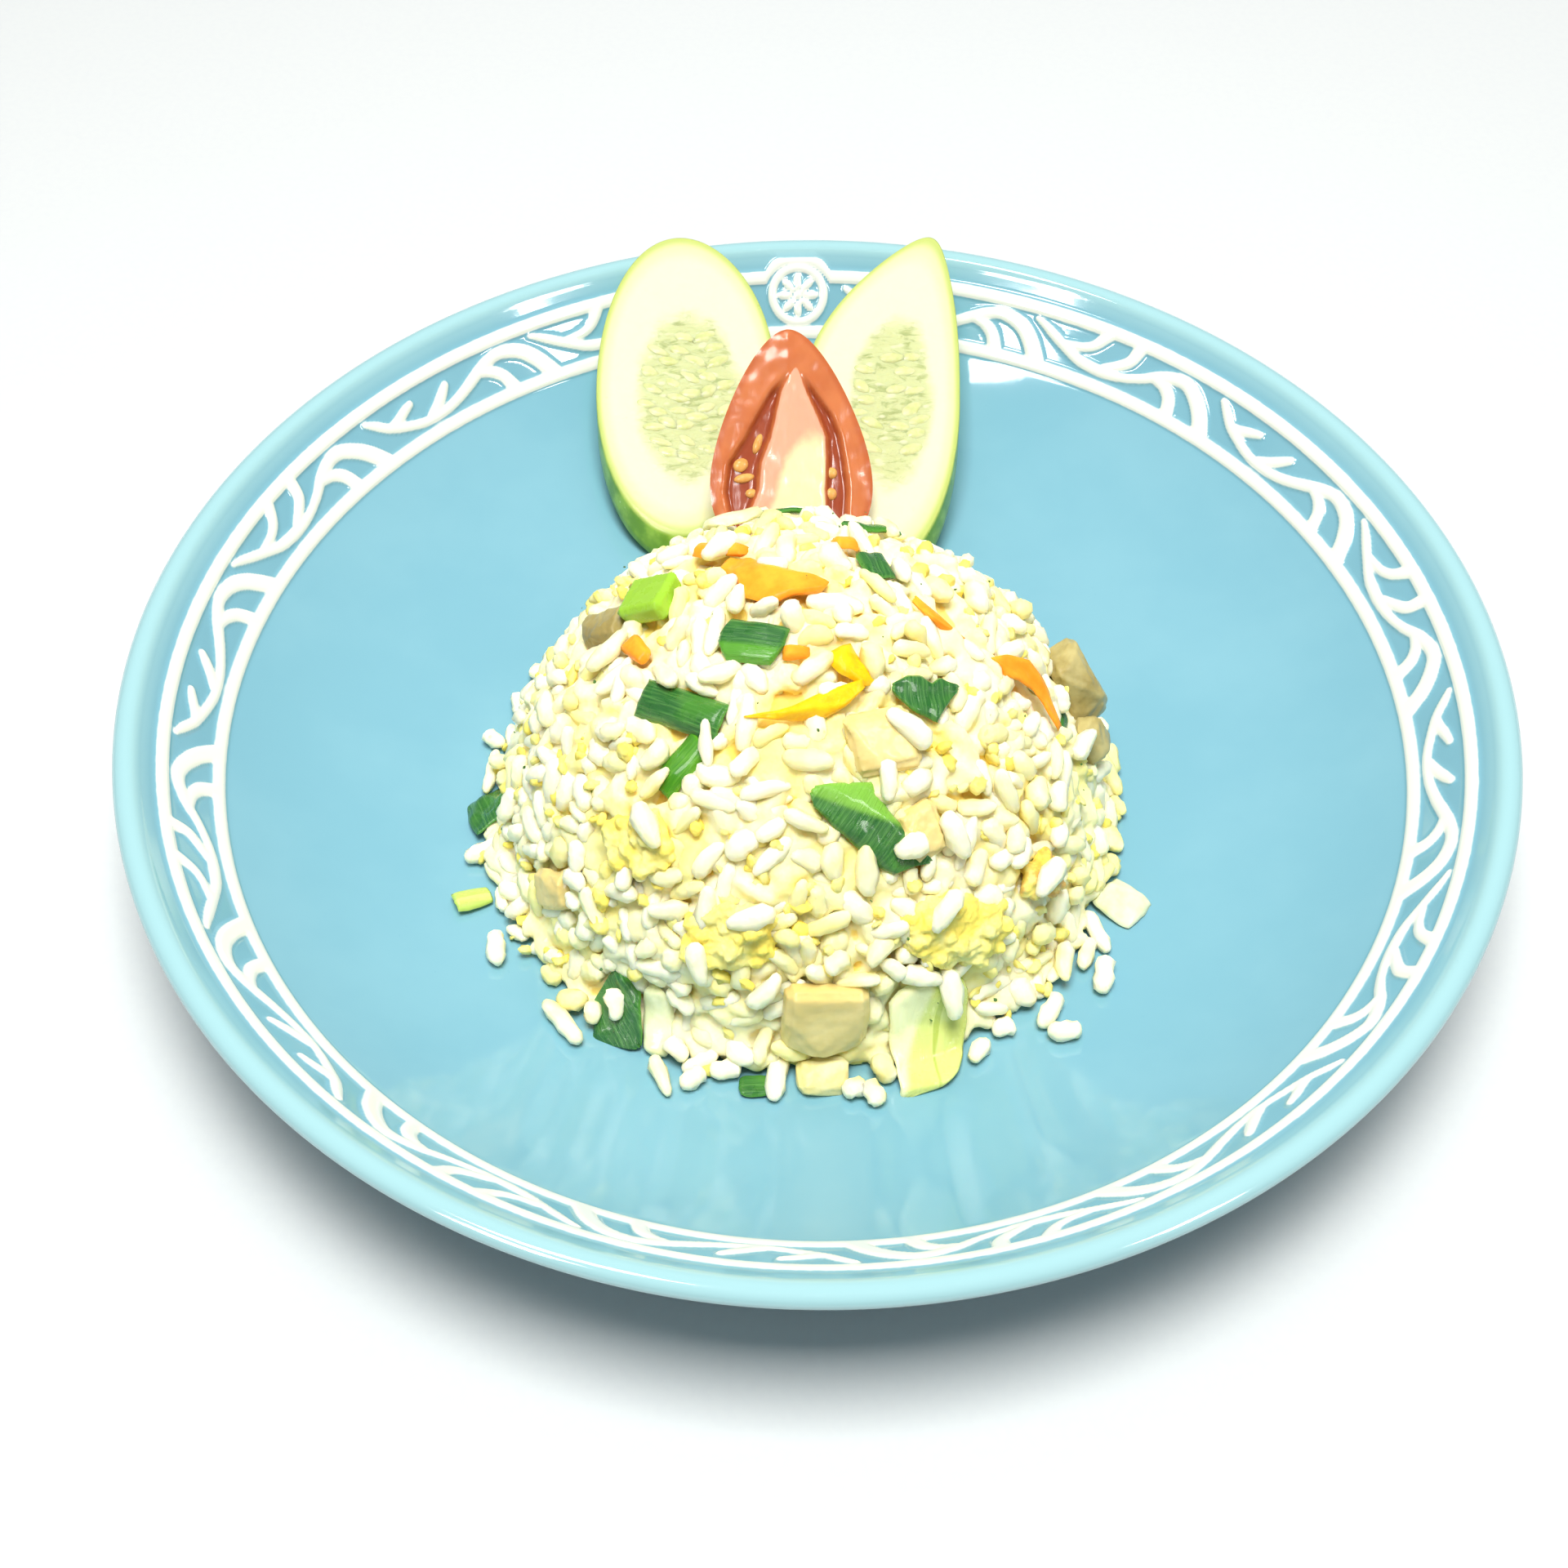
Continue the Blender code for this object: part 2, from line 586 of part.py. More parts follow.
def fuse_grains(core, places, material):
    """Joins all the grains to the core with one union, then drops what stays loose."""
    loose = new_collection("loose_grains")
    for number, (middle, along, length, width) in enumerate(places):
        shape = grain_mesh(length, width)
        turn = Vector((0, 0, 1)).rotation_difference(along).to_matrix().to_4x4()
        bmesh.ops.transform(shape, matrix=Matrix.Translation(middle) @ turn, verts=shape.verts)
        object_from(f"grain_{number}", shape, loose, material)
    union = core.modifiers.new("grains", "BOOLEAN")
    union.operation = "UNION"
    union.solver = "MANIFOLD"
    union.operand_type = "COLLECTION"
    union.collection = loose
    apply_modifiers(core)
    for obj in list(loose.objects):
        bpy.data.objects.remove(obj, do_unlink=True)
    bpy.data.collections.remove(loose)
    keep_largest_body(core)


def keep_largest_body(obj):
    """Removes every shell of a mesh but the one with the most faces."""
    shape = bmesh.new()
    shape.from_mesh(obj.data)
    bmesh.ops.triangulate(shape, faces=shape.faces)
    bmesh.ops.remove_doubles(shape, verts=shape.verts, dist=1e-6)
    left = set(shape.faces)
    bodies = []
    while left:
        body, front = set(), [left.pop()]
        while front:
            face = front.pop()
            body.add(face)
            for edge in face.edges:
                for other in edge.link_faces:
                    if other in left:
                        left.remove(other)
                        front.append(other)
        bodies.append(body)
    bodies.sort(key=len)
    spare = [face for body in bodies[:-1] for face in body]
    bmesh.ops.delete(shape, geom=spare, context="FACES")
    bmesh.ops.delete(shape, geom=[vert for vert in shape.verts if not vert.link_faces], context="VERTS")
    shape.to_mesh(obj.data)
    shape.free()


# ---------------------------------------------------------------- the whole dish

FINISHES = {
    "glaze": ((0.26, 0.62, 0.74), 0.12),
    "rice": ((0.93, 0.88, 0.66), 0.45),
    "cucumber": ((0.78, 0.86, 0.48), 0.35),
    "tomato": ((0.80, 0.24, 0.08), 0.25),
    "scallion": ((0.04, 0.25, 0.07), 0.35),
    "scallion_pale": ((0.42, 0.66, 0.12), 0.35),
    "petal": ((0.62, 0.72, 0.24), 0.3),
    "onion": ((0.78, 0.80, 0.55), 0.25),
    "carrot": ((0.90, 0.36, 0.07), 0.4),
    "yolk": ((0.93, 0.62, 0.08), 0.4),
    "egg": ((0.92, 0.82, 0.34), 0.5),
    "egg_brown": ((0.62, 0.36, 0.12), 0.5),
    "mushroom": ((0.42, 0.30, 0.16), 0.4),
    "meat": ((0.74, 0.60, 0.38), 0.4),
    "meat_pale": ((0.86, 0.78, 0.50), 0.4),
}


def main():
    clear_scene()
    dish = new_collection("fried_rice")
    finishes = {name: new_material(name, *values) for name, values in FINISHES.items()}
    make_plate(dish, finishes["glaze"])
    for piece in SLICES:
        make_slice(piece, dish, finishes["cucumber"])
    make_tomato(dish, finishes["tomato"])
    toppings = [make_leaf(piece, dish, finishes[piece.finish]) for piece in LEAVES]
    toppings += [make_chunk(piece, dish, finishes[piece.finish]) for piece in CHUNKS]
    core = make_core(dish, finishes["rice"])
    places = grain_places(random.Random(SEED), tree_of(toppings))
    fuse_grains(core, places, finishes["rice"])


main()
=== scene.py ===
"""Looks of a plate of fried rice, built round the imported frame: glazed plate, rice, toppings and garnish.

Units are metres, +Z is up, the plate's turning axis is Z and the eater sits at -Y.
"""

from __future__ import annotations

import json
import logging
import math
import random
from collections import defaultdict
from dataclasses import dataclass, field
from enum import Enum
from typing import Any, Iterable, Sequence

import bmesh
import bpy
import numpy as np
from mathutils import Matrix, Vector, noise
from mathutils.bvhtree import BVHTree

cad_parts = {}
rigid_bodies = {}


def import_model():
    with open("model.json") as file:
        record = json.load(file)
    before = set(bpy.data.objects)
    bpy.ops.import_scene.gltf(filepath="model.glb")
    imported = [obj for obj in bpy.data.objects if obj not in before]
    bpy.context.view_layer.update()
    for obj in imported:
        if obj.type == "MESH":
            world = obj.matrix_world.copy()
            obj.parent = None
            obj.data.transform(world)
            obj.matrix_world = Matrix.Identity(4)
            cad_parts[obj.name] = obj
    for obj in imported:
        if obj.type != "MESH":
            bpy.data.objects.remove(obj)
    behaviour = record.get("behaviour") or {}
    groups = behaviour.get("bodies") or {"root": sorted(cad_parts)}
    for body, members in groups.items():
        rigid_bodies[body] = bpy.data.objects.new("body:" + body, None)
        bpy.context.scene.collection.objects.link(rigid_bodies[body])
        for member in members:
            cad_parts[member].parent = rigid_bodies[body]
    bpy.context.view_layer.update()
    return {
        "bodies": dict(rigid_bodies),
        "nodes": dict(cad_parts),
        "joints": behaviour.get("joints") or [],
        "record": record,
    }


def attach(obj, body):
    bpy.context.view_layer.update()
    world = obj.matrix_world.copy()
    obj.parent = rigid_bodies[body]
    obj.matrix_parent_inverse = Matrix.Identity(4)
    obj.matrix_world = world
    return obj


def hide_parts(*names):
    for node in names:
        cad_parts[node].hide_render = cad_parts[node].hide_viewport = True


LOG = logging.getLogger("fried_rice")
MM = 0.001
BODY = "root"
Pair = tuple[float, float]
Triple = tuple[float, float, float]
Colour = Triple
Piece = bpy.types.Object
DOME_MIDDLE = Vector((-2 * MM, -12.5 * MM, 9.5 * MM))
SPILLED_WIDTH = 3.5 * MM


# ---------------------------------------------------------------- shader maths


class Signal:
    """A value that comes out of a node; maths on it adds Math nodes to its graph."""

    def __init__(self, graph: "Graph", socket: bpy.types.NodeSocket) -> None:
        """Keeps the graph and the socket that carries the value."""
        self.graph = graph
        self.socket = socket

    def _maths(self, operation: str, first: Any, second: Any) -> "Signal":
        """Adds one Math node and returns its result."""
        return self.graph.node("ShaderNodeMath", {"operation": operation}, {0: first, 1: second})

    def __add__(self, other: Any) -> "Signal":
        """Sum."""
        return self._maths("ADD", self, other)

    def __sub__(self, other: Any) -> "Signal":
        """Difference."""
        return self._maths("SUBTRACT", self, other)

    def __rsub__(self, other: Any) -> "Signal":
        """Difference from a number."""
        return self._maths("SUBTRACT", other, self)

    def __mul__(self, other: Any) -> "Signal":
        """Product."""
        return self._maths("MULTIPLY", self, other)

    __radd__ = __add__
    __rmul__ = __mul__


class Graph:
    """Node tree of one material, with the shader that ends it."""

    def __init__(self, name: str) -> None:
        """Starts a material with a Principled shader."""
        self.material = bpy.data.materials.new(name)
        self.material.use_nodes = True
        self.tree = self.material.node_tree
        self.shader = self.tree.nodes["Principled BSDF"]

    def node(self, kind: str, settings: dict[str, Any] | None = None,
             feeds: dict[Any, Any] | None = None, out: Any = 0) -> Signal:
        """Adds a node.

        Args:
            kind: the node's type.
            settings: its properties, set first; "stops" are a ramp's positions and colours.
            feeds: values or signals for its inputs, by name or number.
            out: the output to return, by name or number.

        Returns:
            The signal of that output.
        """
        node = self.tree.nodes.new(kind)
        for key, value in (settings or {}).items():
            if key == "stops":
                ramp = node.color_ramp.elements
                while len(ramp) < len(value):
                    ramp.new(0.5)
                for element, (position, colour) in zip(ramp, value):
                    element.position = position
                    element.color = (*colour, 1)
            else:
                setattr(node, key, value)
        for key, value in (feeds or {}).items():
            self.feed(node.inputs[key], value)
        return Signal(self, node.outputs[out])

    def feed(self, socket: bpy.types.NodeSocket, value: Any) -> None:
        """Links a signal to a socket, or sets the socket to a plain value."""
        if isinstance(value, Signal):
            self.tree.links.new(value.socket, socket)
        elif isinstance(value, tuple) and len(value) == 3 and socket.type == "RGBA":
            socket.default_value = (*value, 1)
        else:
            socket.default_value = value

    def coords(self, stretch: Sequence[float] = (1, 1, 1), source: Signal | None = None) -> Signal:
        """Object coordinates, or another vector, stretched along each axis."""
        place = source or self.node("ShaderNodeTexCoord", out="Object")
        if tuple(stretch) == (1, 1, 1):
            return place
        return self.node("ShaderNodeMapping", None, {"Vector": place, "Scale": tuple(stretch)})

    def attribute(self, name: str, vector: bool = False) -> Signal:
        """A value, or a vector, that the mesh carries."""
        return self.node("ShaderNodeAttribute", {"attribute_name": name}, out="Vector" if vector else "Fac")

    def noise(self, scale: float, detail: float = 3, rough: float = 0.5, vector: Signal | None = None,
              twist: float = 0) -> Signal:
        """Soft noise between 0 and 1; scale counts features in a metre."""
        feeds = {"Vector": vector or self.coords(), "Scale": scale, "Detail": detail,
                 "Roughness": rough, "Distortion": twist}
        return self.node("ShaderNodeTexNoise", None, feeds, "Fac")

    def cells(self, scale: float, vector: Signal | None = None, feature: str = "F1") -> Signal:
        """Distance to the nearest of many scattered points."""
        return self.node("ShaderNodeTexVoronoi", {"feature": feature},
                         {"Vector": vector or self.coords(), "Scale": scale}, "Distance")

    def specks(self, scale: float, size: Pair, patches: float, where: Pair) -> Signal:
        """Small dots, scale of them in a metre, that show only in patches."""
        return self.span(self.cells(scale), *size, 1, 0) * self.span(self.noise(patches, 2), *where)

    def span(self, value: Any, low: float, high: float, start: float = 0, end: float = 1) -> Signal:
        """Takes a range of values smoothly to another, and holds its ends."""
        return self.node("ShaderNodeMapRange", {"interpolation_type": "SMOOTHSTEP"},
                         {"Value": value, "From Min": low, "From Max": high, "To Min": start, "To Max": end})

    def mix(self, factor: Any, first: Any, second: Any, blend: str = "MIX") -> Signal:
        """Mixes two colours."""
        return self.node("ShaderNodeMix", {"data_type": "RGBA", "blend_type": blend},
                         {0: factor, 6: first, 7: second}, 2)

    def bump(self, height: Any, distance: float, strength: float = 1) -> Signal:
        """A normal bent by a height between 0 and 1, which stands for the distance given."""
        feeds = {"Height": height, "Distance": distance, "Strength": strength}
        return self.node("ShaderNodeBump", None, feeds)

    def surface(self, values: dict[str, Any]) -> None:
        """Sets or links the shader's own sockets."""
        for key, value in values.items():
            self.feed(self.shader.inputs[key], value)


# ---------------------------------------------------------------- finishes


@dataclass(frozen=True)
class Finish:
    """What every finish has: a name, gloss and how deep light goes into it."""

    name: str
    roughness: float = 0.4
    glow: float = 0.0
    depth: float = 1.5 * MM
    coat: float = 0.0
    shine: float = 0.5

    def material(self) -> bpy.types.Material:
        """Builds the material once and returns it."""
        found = bpy.data.materials.get(self.name)
        if found:
            return found
        graph = Graph(self.name)
        graph.surface({"Roughness": self.roughness, "Subsurface Weight": self.glow,
                       "Subsurface Radius": (1.0, 0.75, 0.4), "Subsurface Scale": self.depth,
                       "Coat Weight": self.coat, "Coat Roughness": 0.08, "Specular IOR Level": self.shine})
        self.paint(graph)
        return graph.material

    def paint(self, graph: Graph) -> None:
        """Adds what changes over the surface."""
        raise NotImplementedError


@dataclass(frozen=True)
class GlazeFinish(Finish):
    """Glossy turquoise glaze, white where it runs thin over relief and pale at the lip."""

    deep: Colour = (0.190, 0.410, 0.495)
    pool: Colour = (0.135, 0.345, 0.440)
    pale: Colour = (0.78, 0.80, 0.72)
    lip: Colour = (0.31, 0.535, 0.565)
    clay: Colour = (0.74, 0.66, 0.55)

    def paint(self, graph: Graph) -> None:
        """Mixes glaze colours by the relief, lip and foot attributes."""
        relief = graph.attribute("relief")
        cloud = graph.noise(28, 4, 0.55)
        speck = graph.specks(900, (0.05, 0.16), 160, (0.62, 0.72))
        body = graph.mix(graph.span(cloud, 0.35, 0.65, 0, 0.35), self.deep, self.pool)
        body = graph.mix(graph.span(graph.attribute("pool"), 0, 1, 0, 0.8), body, self.pool)
        body = graph.mix(graph.attribute("lip"), body, self.lip)
        wander = relief + (graph.noise(600, 3) - 0.5) * 0.25
        body = graph.mix(graph.span(wander, 0.18, 0.62), body, self.pale)
        body = graph.mix(speck * 0.25, body, (0.10, 0.30, 0.38))
        body = graph.mix(graph.attribute("clay"), body, self.clay)
        height = graph.noise(55, 2, 0.4) * 0.7 + graph.noise(420, 2, 0.5) * 0.05
        graph.surface({"Base Color": body, "IOR": 1.8,
                       "Roughness": graph.span(graph.attribute("clay"), 0, 1, 0.07, 0.75),
                       "Normal": graph.bump(height, 0.35 * MM, 0.35)})


@dataclass(frozen=True)
class RiceFinish(Finish):
    """Cooked grain: creamy white, yellower where egg coats it, with faint streaks along it."""

    cream: Colour = (0.985, 0.91, 0.65)
    yellow: Colour = (0.97, 0.82, 0.29)
    shade: Colour = (0.94, 0.88, 0.43)

    def paint(self, graph: Graph) -> None:
        """Mixes the colours by patches, and by a tone that each grain carries."""
        tone = graph.attribute("tone")
        patch = graph.noise(58, 3, 0.6)
        base = graph.mix(graph.span(tone, 0.55, 1.0, 0, 0.6), self.cream, self.shade)
        base = graph.mix(graph.span(patch + tone * 0.14, 0.53, 0.72, 0, 0.8), base, self.yellow)
        fleck = graph.specks(430, (0.10, 0.22), 150, (0.60, 0.70))
        base = graph.mix(fleck * 0.5, base, (0.82, 0.60, 0.16))
        height = graph.noise(900, 3, 0.6) * 0.5 + graph.noise(300, 2) * 0.5
        graph.surface({"Base Color": base, "Normal": graph.bump(height, 0.35 * MM, 0.7)})


@dataclass(frozen=True)
class PackedFinish(Finish):
    """Rice and egg pressed together: cream on its humps, and painted shade as a darker ochre yellow in its
    crevices.
    """

    hump: Colour = (0.985, 0.89, 0.57)
    egg: Colour = (0.965, 0.80, 0.24)
    painted_crevice_shade: Colour = (0.90, 0.67, 0.13)
    green: Colour = (0.91, 0.86, 0.36)

    def paint(self, graph: Graph) -> None:
        """Mixes the colours by patches, and paints shade as darker ochre by how deep a place lies."""
        patch = graph.noise(75, 4, 0.6)
        base = graph.mix(graph.span(patch, 0.45, 0.66, 0, 0.85), self.hump, self.egg)
        base = graph.mix(graph.span(graph.noise(40, 2), 0.50, 0.70, 0, 0.6), base, self.green)
        # painted shade: places that lie deeper under the core take more of the darker ochre crevice colour
        deep = graph.attribute("deep") + (graph.noise(500, 3) - 0.5) * 0.4
        base = graph.mix(graph.span(deep, 0.45, 1.0, 0, 0.85), base, self.painted_crevice_shade)
        height = graph.noise(700, 4, 0.6)
        graph.surface({"Base Color": base, "Normal": graph.bump(height, 0.25 * MM, 0.6)})


@dataclass(frozen=True)
class CurdFinish(Finish):
    """Scrambled egg: yellow and matte, with paler patches, browned where it met the pan."""

    yellow: Colour = (0.93, 0.76, 0.13)
    pale: Colour = (0.94, 0.85, 0.30)
    brown: Colour = (0.62, 0.27, 0.04)
    browned: float = 0.0

    def paint(self, graph: Graph) -> None:
        """Mixes yellow, pale and browned patches."""
        base = graph.mix(graph.span(graph.noise(170, 4, 0.6), 0.40, 0.62), self.yellow, self.pale)
        scorch = graph.noise(260, 4, 0.65)
        base = graph.mix(graph.span(scorch, 0.70 - 0.42 * self.browned, 0.86 - 0.30 * self.browned,
                                    0, 0.35 + 0.6 * self.browned), base, self.brown)
        speck = graph.specks(700, (0.06, 0.16), 240, (0.62, 0.7))
        base = graph.mix(speck * 0.6, base, (0.20, 0.13, 0.03))
        height = graph.noise(520, 5, 0.65) * 0.7 + graph.cells(900) * 0.3
        graph.surface({"Base Color": base, "Normal": graph.bump(height, 0.5 * MM, 0.75)})


@dataclass(frozen=True)
class LeafFinish(Finish):
    """Wet leaf with fine veins that run along the piece, or across it, and a paler green on one side of some
    pieces that is partly younger leaf and partly a painted highlight.
    """

    face: Colour = (0.018, 0.115, 0.020)
    vein: Colour = (0.085, 0.255, 0.055)
    rim: Colour = (0.075, 0.270, 0.025)
    pitch: float = 0.42 * MM
    across: bool = False
    gleam: float = 0.35
    lines: Pair = (0.40, 0.70)
    young_and_highlight: Colour = (0.085, 0.30, 0.022)

    def paint(self, graph: Graph) -> None:
        """Paints stripes in the piece's own flat coordinates."""
        stretch = (1, 0.06, 1) if self.across else (0.06, 1, 1)
        lay = graph.coords(stretch, graph.attribute("lay", vector=True))
        stripe = graph.noise(1 / self.pitch, 2, 0.5, lay)
        fine = graph.noise(3.1 / self.pitch, 2, 0.5, lay)
        base = graph.mix(graph.span(stripe, *self.lines, 0, 0.75), self.face, self.vein)
        base = graph.mix(graph.span(graph.noise(130, 3), 0.48, 0.72, 0, 0.55), base, self.rim)
        base = graph.mix(graph.span(graph.attribute("edge"), 0.0, 0.45 * MM, 0.75, 0), base, self.rim)
        # paler green past a line on the piece: partly younger leaf, partly a painted highlight of wet leaf
        base = graph.mix(graph.attribute("fresh"), base, self.young_and_highlight)
        wet = graph.span(graph.noise(330, 3, 0.6), 0.42, 0.62)
        height = stripe * 0.55 + fine * 0.35 + graph.noise(240, 2) * 0.3
        graph.surface({"Base Color": base, "Roughness": 0.13 + (1 - wet) * self.gleam,
                       "Normal": graph.bump(height, 0.4 * MM, 0.8)})


@dataclass(frozen=True)
class FleshFinish(Finish):
    """Cooked vegetable or meat: mottled in two colours, with pores and a darker rim."""

    light: Colour = (0.84, 0.62, 0.25)
    dark: Colour = (0.70, 0.45, 0.13)
    rim: Colour = (0.50, 0.30, 0.08)
    rimmed: float = 0.0
    grain: float = 260
    relief: float = 0.3 * MM

    def paint(self, graph: Graph) -> None:
        """Mixes the two colours by patches and darkens the rim."""
        patch = graph.noise(self.grain, 4, 0.6)
        base = graph.mix(graph.span(patch, 0.36, 0.66), self.light, self.dark)
        base = graph.mix(graph.span(graph.noise(self.grain * 0.35, 3), 0.60 - 0.2 * self.rimmed, 0.78,
                                    0, self.rimmed), base, self.rim)
        speck = graph.specks(650, (0.05, 0.13), 300, (0.6, 0.7))
        base = graph.mix(speck * 0.35, base, self.rim)
        height = graph.noise(self.grain * 2.2, 4, 0.6)
        graph.surface({"Base Color": base, "Normal": graph.bump(height, self.relief, 0.6)})


@dataclass(frozen=True)
class CucumberFinish(Finish):
    """Cut cucumber: thin green rind, pale ring of flesh and a watery seed bed."""

    skin: Colour = (0.14, 0.30, 0.012)
    skin_light: Colour = (0.30, 0.50, 0.05)
    rind: Colour = (0.46, 0.54, 0.15)
    ring: Colour = (0.66, 0.68, 0.36)
    flesh: Colour = (0.70, 0.70, 0.48)
    seedbed: Colour = (0.50, 0.545, 0.25)
    shadow: Colour = (0.27, 0.33, 0.11)

    def paint(self, graph: Graph) -> None:
        """Colours the cut by its distance from the rind, and the side as skin."""
        edge = graph.attribute("edge")
        bed = graph.attribute("bed")
        base = graph.mix(graph.span(edge, 0.4 * MM, 1.5 * MM), self.rind, self.ring)
        base = graph.mix(graph.span(edge, 1.2 * MM, 3.4 * MM), base, self.flesh)
        flat = graph.attribute("lay", vector=True)
        ripple = graph.noise(300, 4, 0.6, graph.coords((1, 2.6, 1), flat), 0.6)
        drops = graph.cells(330, graph.coords((1, 1.8, 1), flat), "SMOOTH_F1")
        soft = graph.span(bed + (graph.noise(160, 3, 0.6, flat) - 0.5) * 0.7, 0.25, 0.85, 0, 0.85)
        base = graph.mix(soft, base, self.seedbed)
        base = graph.mix(soft * graph.span(ripple, 0.50, 0.68, 0, 0.85), base, self.shadow)
        base = graph.mix(soft * graph.span(drops, 0.10, 0.30, 0.75, 0), base, self.flesh)
        peel = graph.mix(graph.span(graph.noise(230, 3), 0.4, 0.7), self.skin, self.skin_light)
        spots = graph.specks(620, (0.08, 0.2), 200, (0.5, 0.65))
        peel = graph.mix(spots * 0.7, peel, (0.62, 0.78, 0.30))
        skin = graph.attribute("skin")
        base = graph.mix(skin, base, peel)
        height = (drops * -1.2 + ripple) * graph.span(bed, 0.2, 0.8, 0.1, 1) + graph.noise(900, 2) * 0.1
        graph.surface({"Base Color": base, "Roughness": 0.22 + graph.noise(300, 2) * 0.2,
                       "Normal": graph.bump(height, 0.6 * MM, 0.6)})


@dataclass(frozen=True)
class TomatoFinish(Finish):
    """Cut tomato: orange wall, red chambers, pink core that pales to yellow, and its skin."""

    wall: Colour = (0.56, 0.175, 0.060)
    wall_deep: Colour = (0.44, 0.105, 0.030)
    chamber: Colour = (0.27, 0.045, 0.014)
    core: Colour = (0.68, 0.36, 0.235)
    heart: Colour = (0.76, 0.69, 0.40)
    skin: Colour = (0.46, 0.085, 0.015)

    def paint(self, graph: Graph) -> None:
        """Mixes the parts of the cut by the attributes that the mesh carries."""
        blur = (graph.noise(420, 3) - 0.5) * 0.3
        base = graph.mix(graph.span(graph.noise(120, 3), 0.35, 0.7, 0, 0.6), self.wall, self.wall_deep)
        rim = graph.span(graph.attribute("edge"), 0.2 * MM, 1.6 * MM, 0.85, 0)
        base = graph.mix(rim, base, self.wall_deep)
        base = graph.mix(graph.span(graph.attribute("core") + blur, 0.35, 0.7), base, self.core)
        base = graph.mix(graph.span(graph.attribute("heart") + blur, 0.3, 0.8), base, self.heart)
        hollow = graph.attribute("chamber") + blur
        base = graph.mix(graph.span(hollow, 0.05, 0.5, 0, 0.6), base, self.wall_deep)
        base = graph.mix(graph.span(hollow, 0.4, 1.0, 0, 0.9), base, self.chamber)
        base = graph.mix(graph.attribute("skin"), base, self.skin)
        streak = graph.noise(500, 3, 0.5, graph.coords((1, 0.25, 1), graph.attribute("lay", vector=True)))
        graph.surface({"Base Color": base, "Normal": graph.bump(streak, 0.2 * MM, 0.4)})


@dataclass(frozen=True)
class PlainFinish(Finish):
    """A small wet thing in one colour with slight mottling."""

    colour: Colour = (0.9, 0.7, 0.3)
    other: Colour = (0.8, 0.55, 0.2)
    relief: float = 0.1 * MM

    def paint(self, graph: Graph) -> None:
        """Mottles the colour and the surface."""
        patch = graph.noise(600, 3)
        base = graph.mix(graph.span(patch, 0.35, 0.7), self.colour, self.other)
        graph.surface({"Base Color": base, "Normal": graph.bump(patch, self.relief, 0.5)})


GLAZE = GlazeFinish("turquoise glaze", 0.08)
RICE = RiceFinish("cooked rice", 0.46, glow=0.6, depth=2.2 * MM, shine=0.35)
PACKED = PackedFinish("packed rice and egg", 0.5, glow=0.6, depth=2.5 * MM, shine=0.35)
CURD = CurdFinish("egg curd", 0.5, glow=0.25, depth=1 * MM)
CURD_BROWN = CurdFinish("browned egg", 0.4, glow=0.1, browned=0.8)
SCALLION = LeafFinish("scallion green", 0.3, coat=0.3)
# its paler green, on one side of the broad scallion, is a painted highlight of wet leaf
SCALLION_ACROSS = LeafFinish("scallion green, veined across", 0.3, coat=0.3, across=True,
                             young_and_highlight=(0.19, 0.45, 0.05))
SCALLION_BRIGHT = LeafFinish("scallion bright", 0.3, coat=0.3, face=(0.045, 0.22, 0.008),
                             vein=(0.10, 0.33, 0.015), rim=(0.13, 0.38, 0.02))
SCALLION_PALE = LeafFinish("scallion light", 0.35, glow=0.2, face=(0.33, 0.58, 0.045),
                           vein=(0.46, 0.68, 0.12), rim=(0.28, 0.52, 0.03), pitch=0.8 * MM, gleam=0.3,
                           young_and_highlight=(0.5, 0.78, 0.1))
LEAF_PALE = LeafFinish("pale leaf", 0.35, glow=0.3, face=(0.50, 0.66, 0.13), vein=(0.62, 0.76, 0.24),
                       rim=(0.40, 0.56, 0.10), pitch=1.2 * MM, gleam=0.3)
PETAL = LeafFinish("green petal", 0.3, glow=0.3, depth=2 * MM, face=(0.66, 0.72, 0.22),
                   vein=(0.40, 0.49, 0.06), rim=(0.52, 0.60, 0.10), pitch=2.0 * MM, gleam=0.2,
                   lines=(0.57, 0.64), young_and_highlight=(0.88, 0.88, 0.50))
ONION = FleshFinish("cooked onion", 0.18, glow=0.5, depth=2.5 * MM, light=(0.80, 0.82, 0.55),
                    dark=(0.70, 0.72, 0.38), rim=(0.62, 0.62, 0.30), rimmed=0.3, grain=180, relief=0.2 * MM)
CARROT = FleshFinish("carrot shaving", 0.25, glow=0.12, shine=0.2, light=(0.92, 0.40, 0.032),
                     dark=(0.89, 0.29, 0.018), rim=(0.74, 0.19, 0.010), rimmed=0.35, grain=190,
                     relief=0.2 * MM)
YOLK = FleshFinish("yolk strip", 0.3, glow=0.12, shine=0.3, light=(0.95, 0.58, 0.008),
                   dark=(0.90, 0.44, 0.004), rim=(0.76, 0.30, 0.006), rimmed=0.35, grain=300,
                   relief=0.4 * MM)
MUSHROOM = FleshFinish("brown mushroom", 0.35, glow=0.15, light=(0.50, 0.43, 0.18), dark=(0.35, 0.28, 0.09),
                       rim=(0.19, 0.12, 0.03), rimmed=0.5, grain=150, relief=0.2 * MM)
MEAT = FleshFinish("tan cooked piece", 0.28, glow=0.25, depth=2 * MM, light=(0.80, 0.66, 0.29),
                   dark=(0.72, 0.56, 0.20), rim=(0.60, 0.42, 0.12), rimmed=0.3, grain=120, relief=0.15 * MM)
MEAT_PALE = FleshFinish("pale cooked piece", 0.3, glow=0.3, depth=2 * MM, light=(0.86, 0.80, 0.44),
                        dark=(0.78, 0.69, 0.28), rim=(0.66, 0.54, 0.18), rimmed=0.3, grain=170,
                        relief=0.2 * MM)
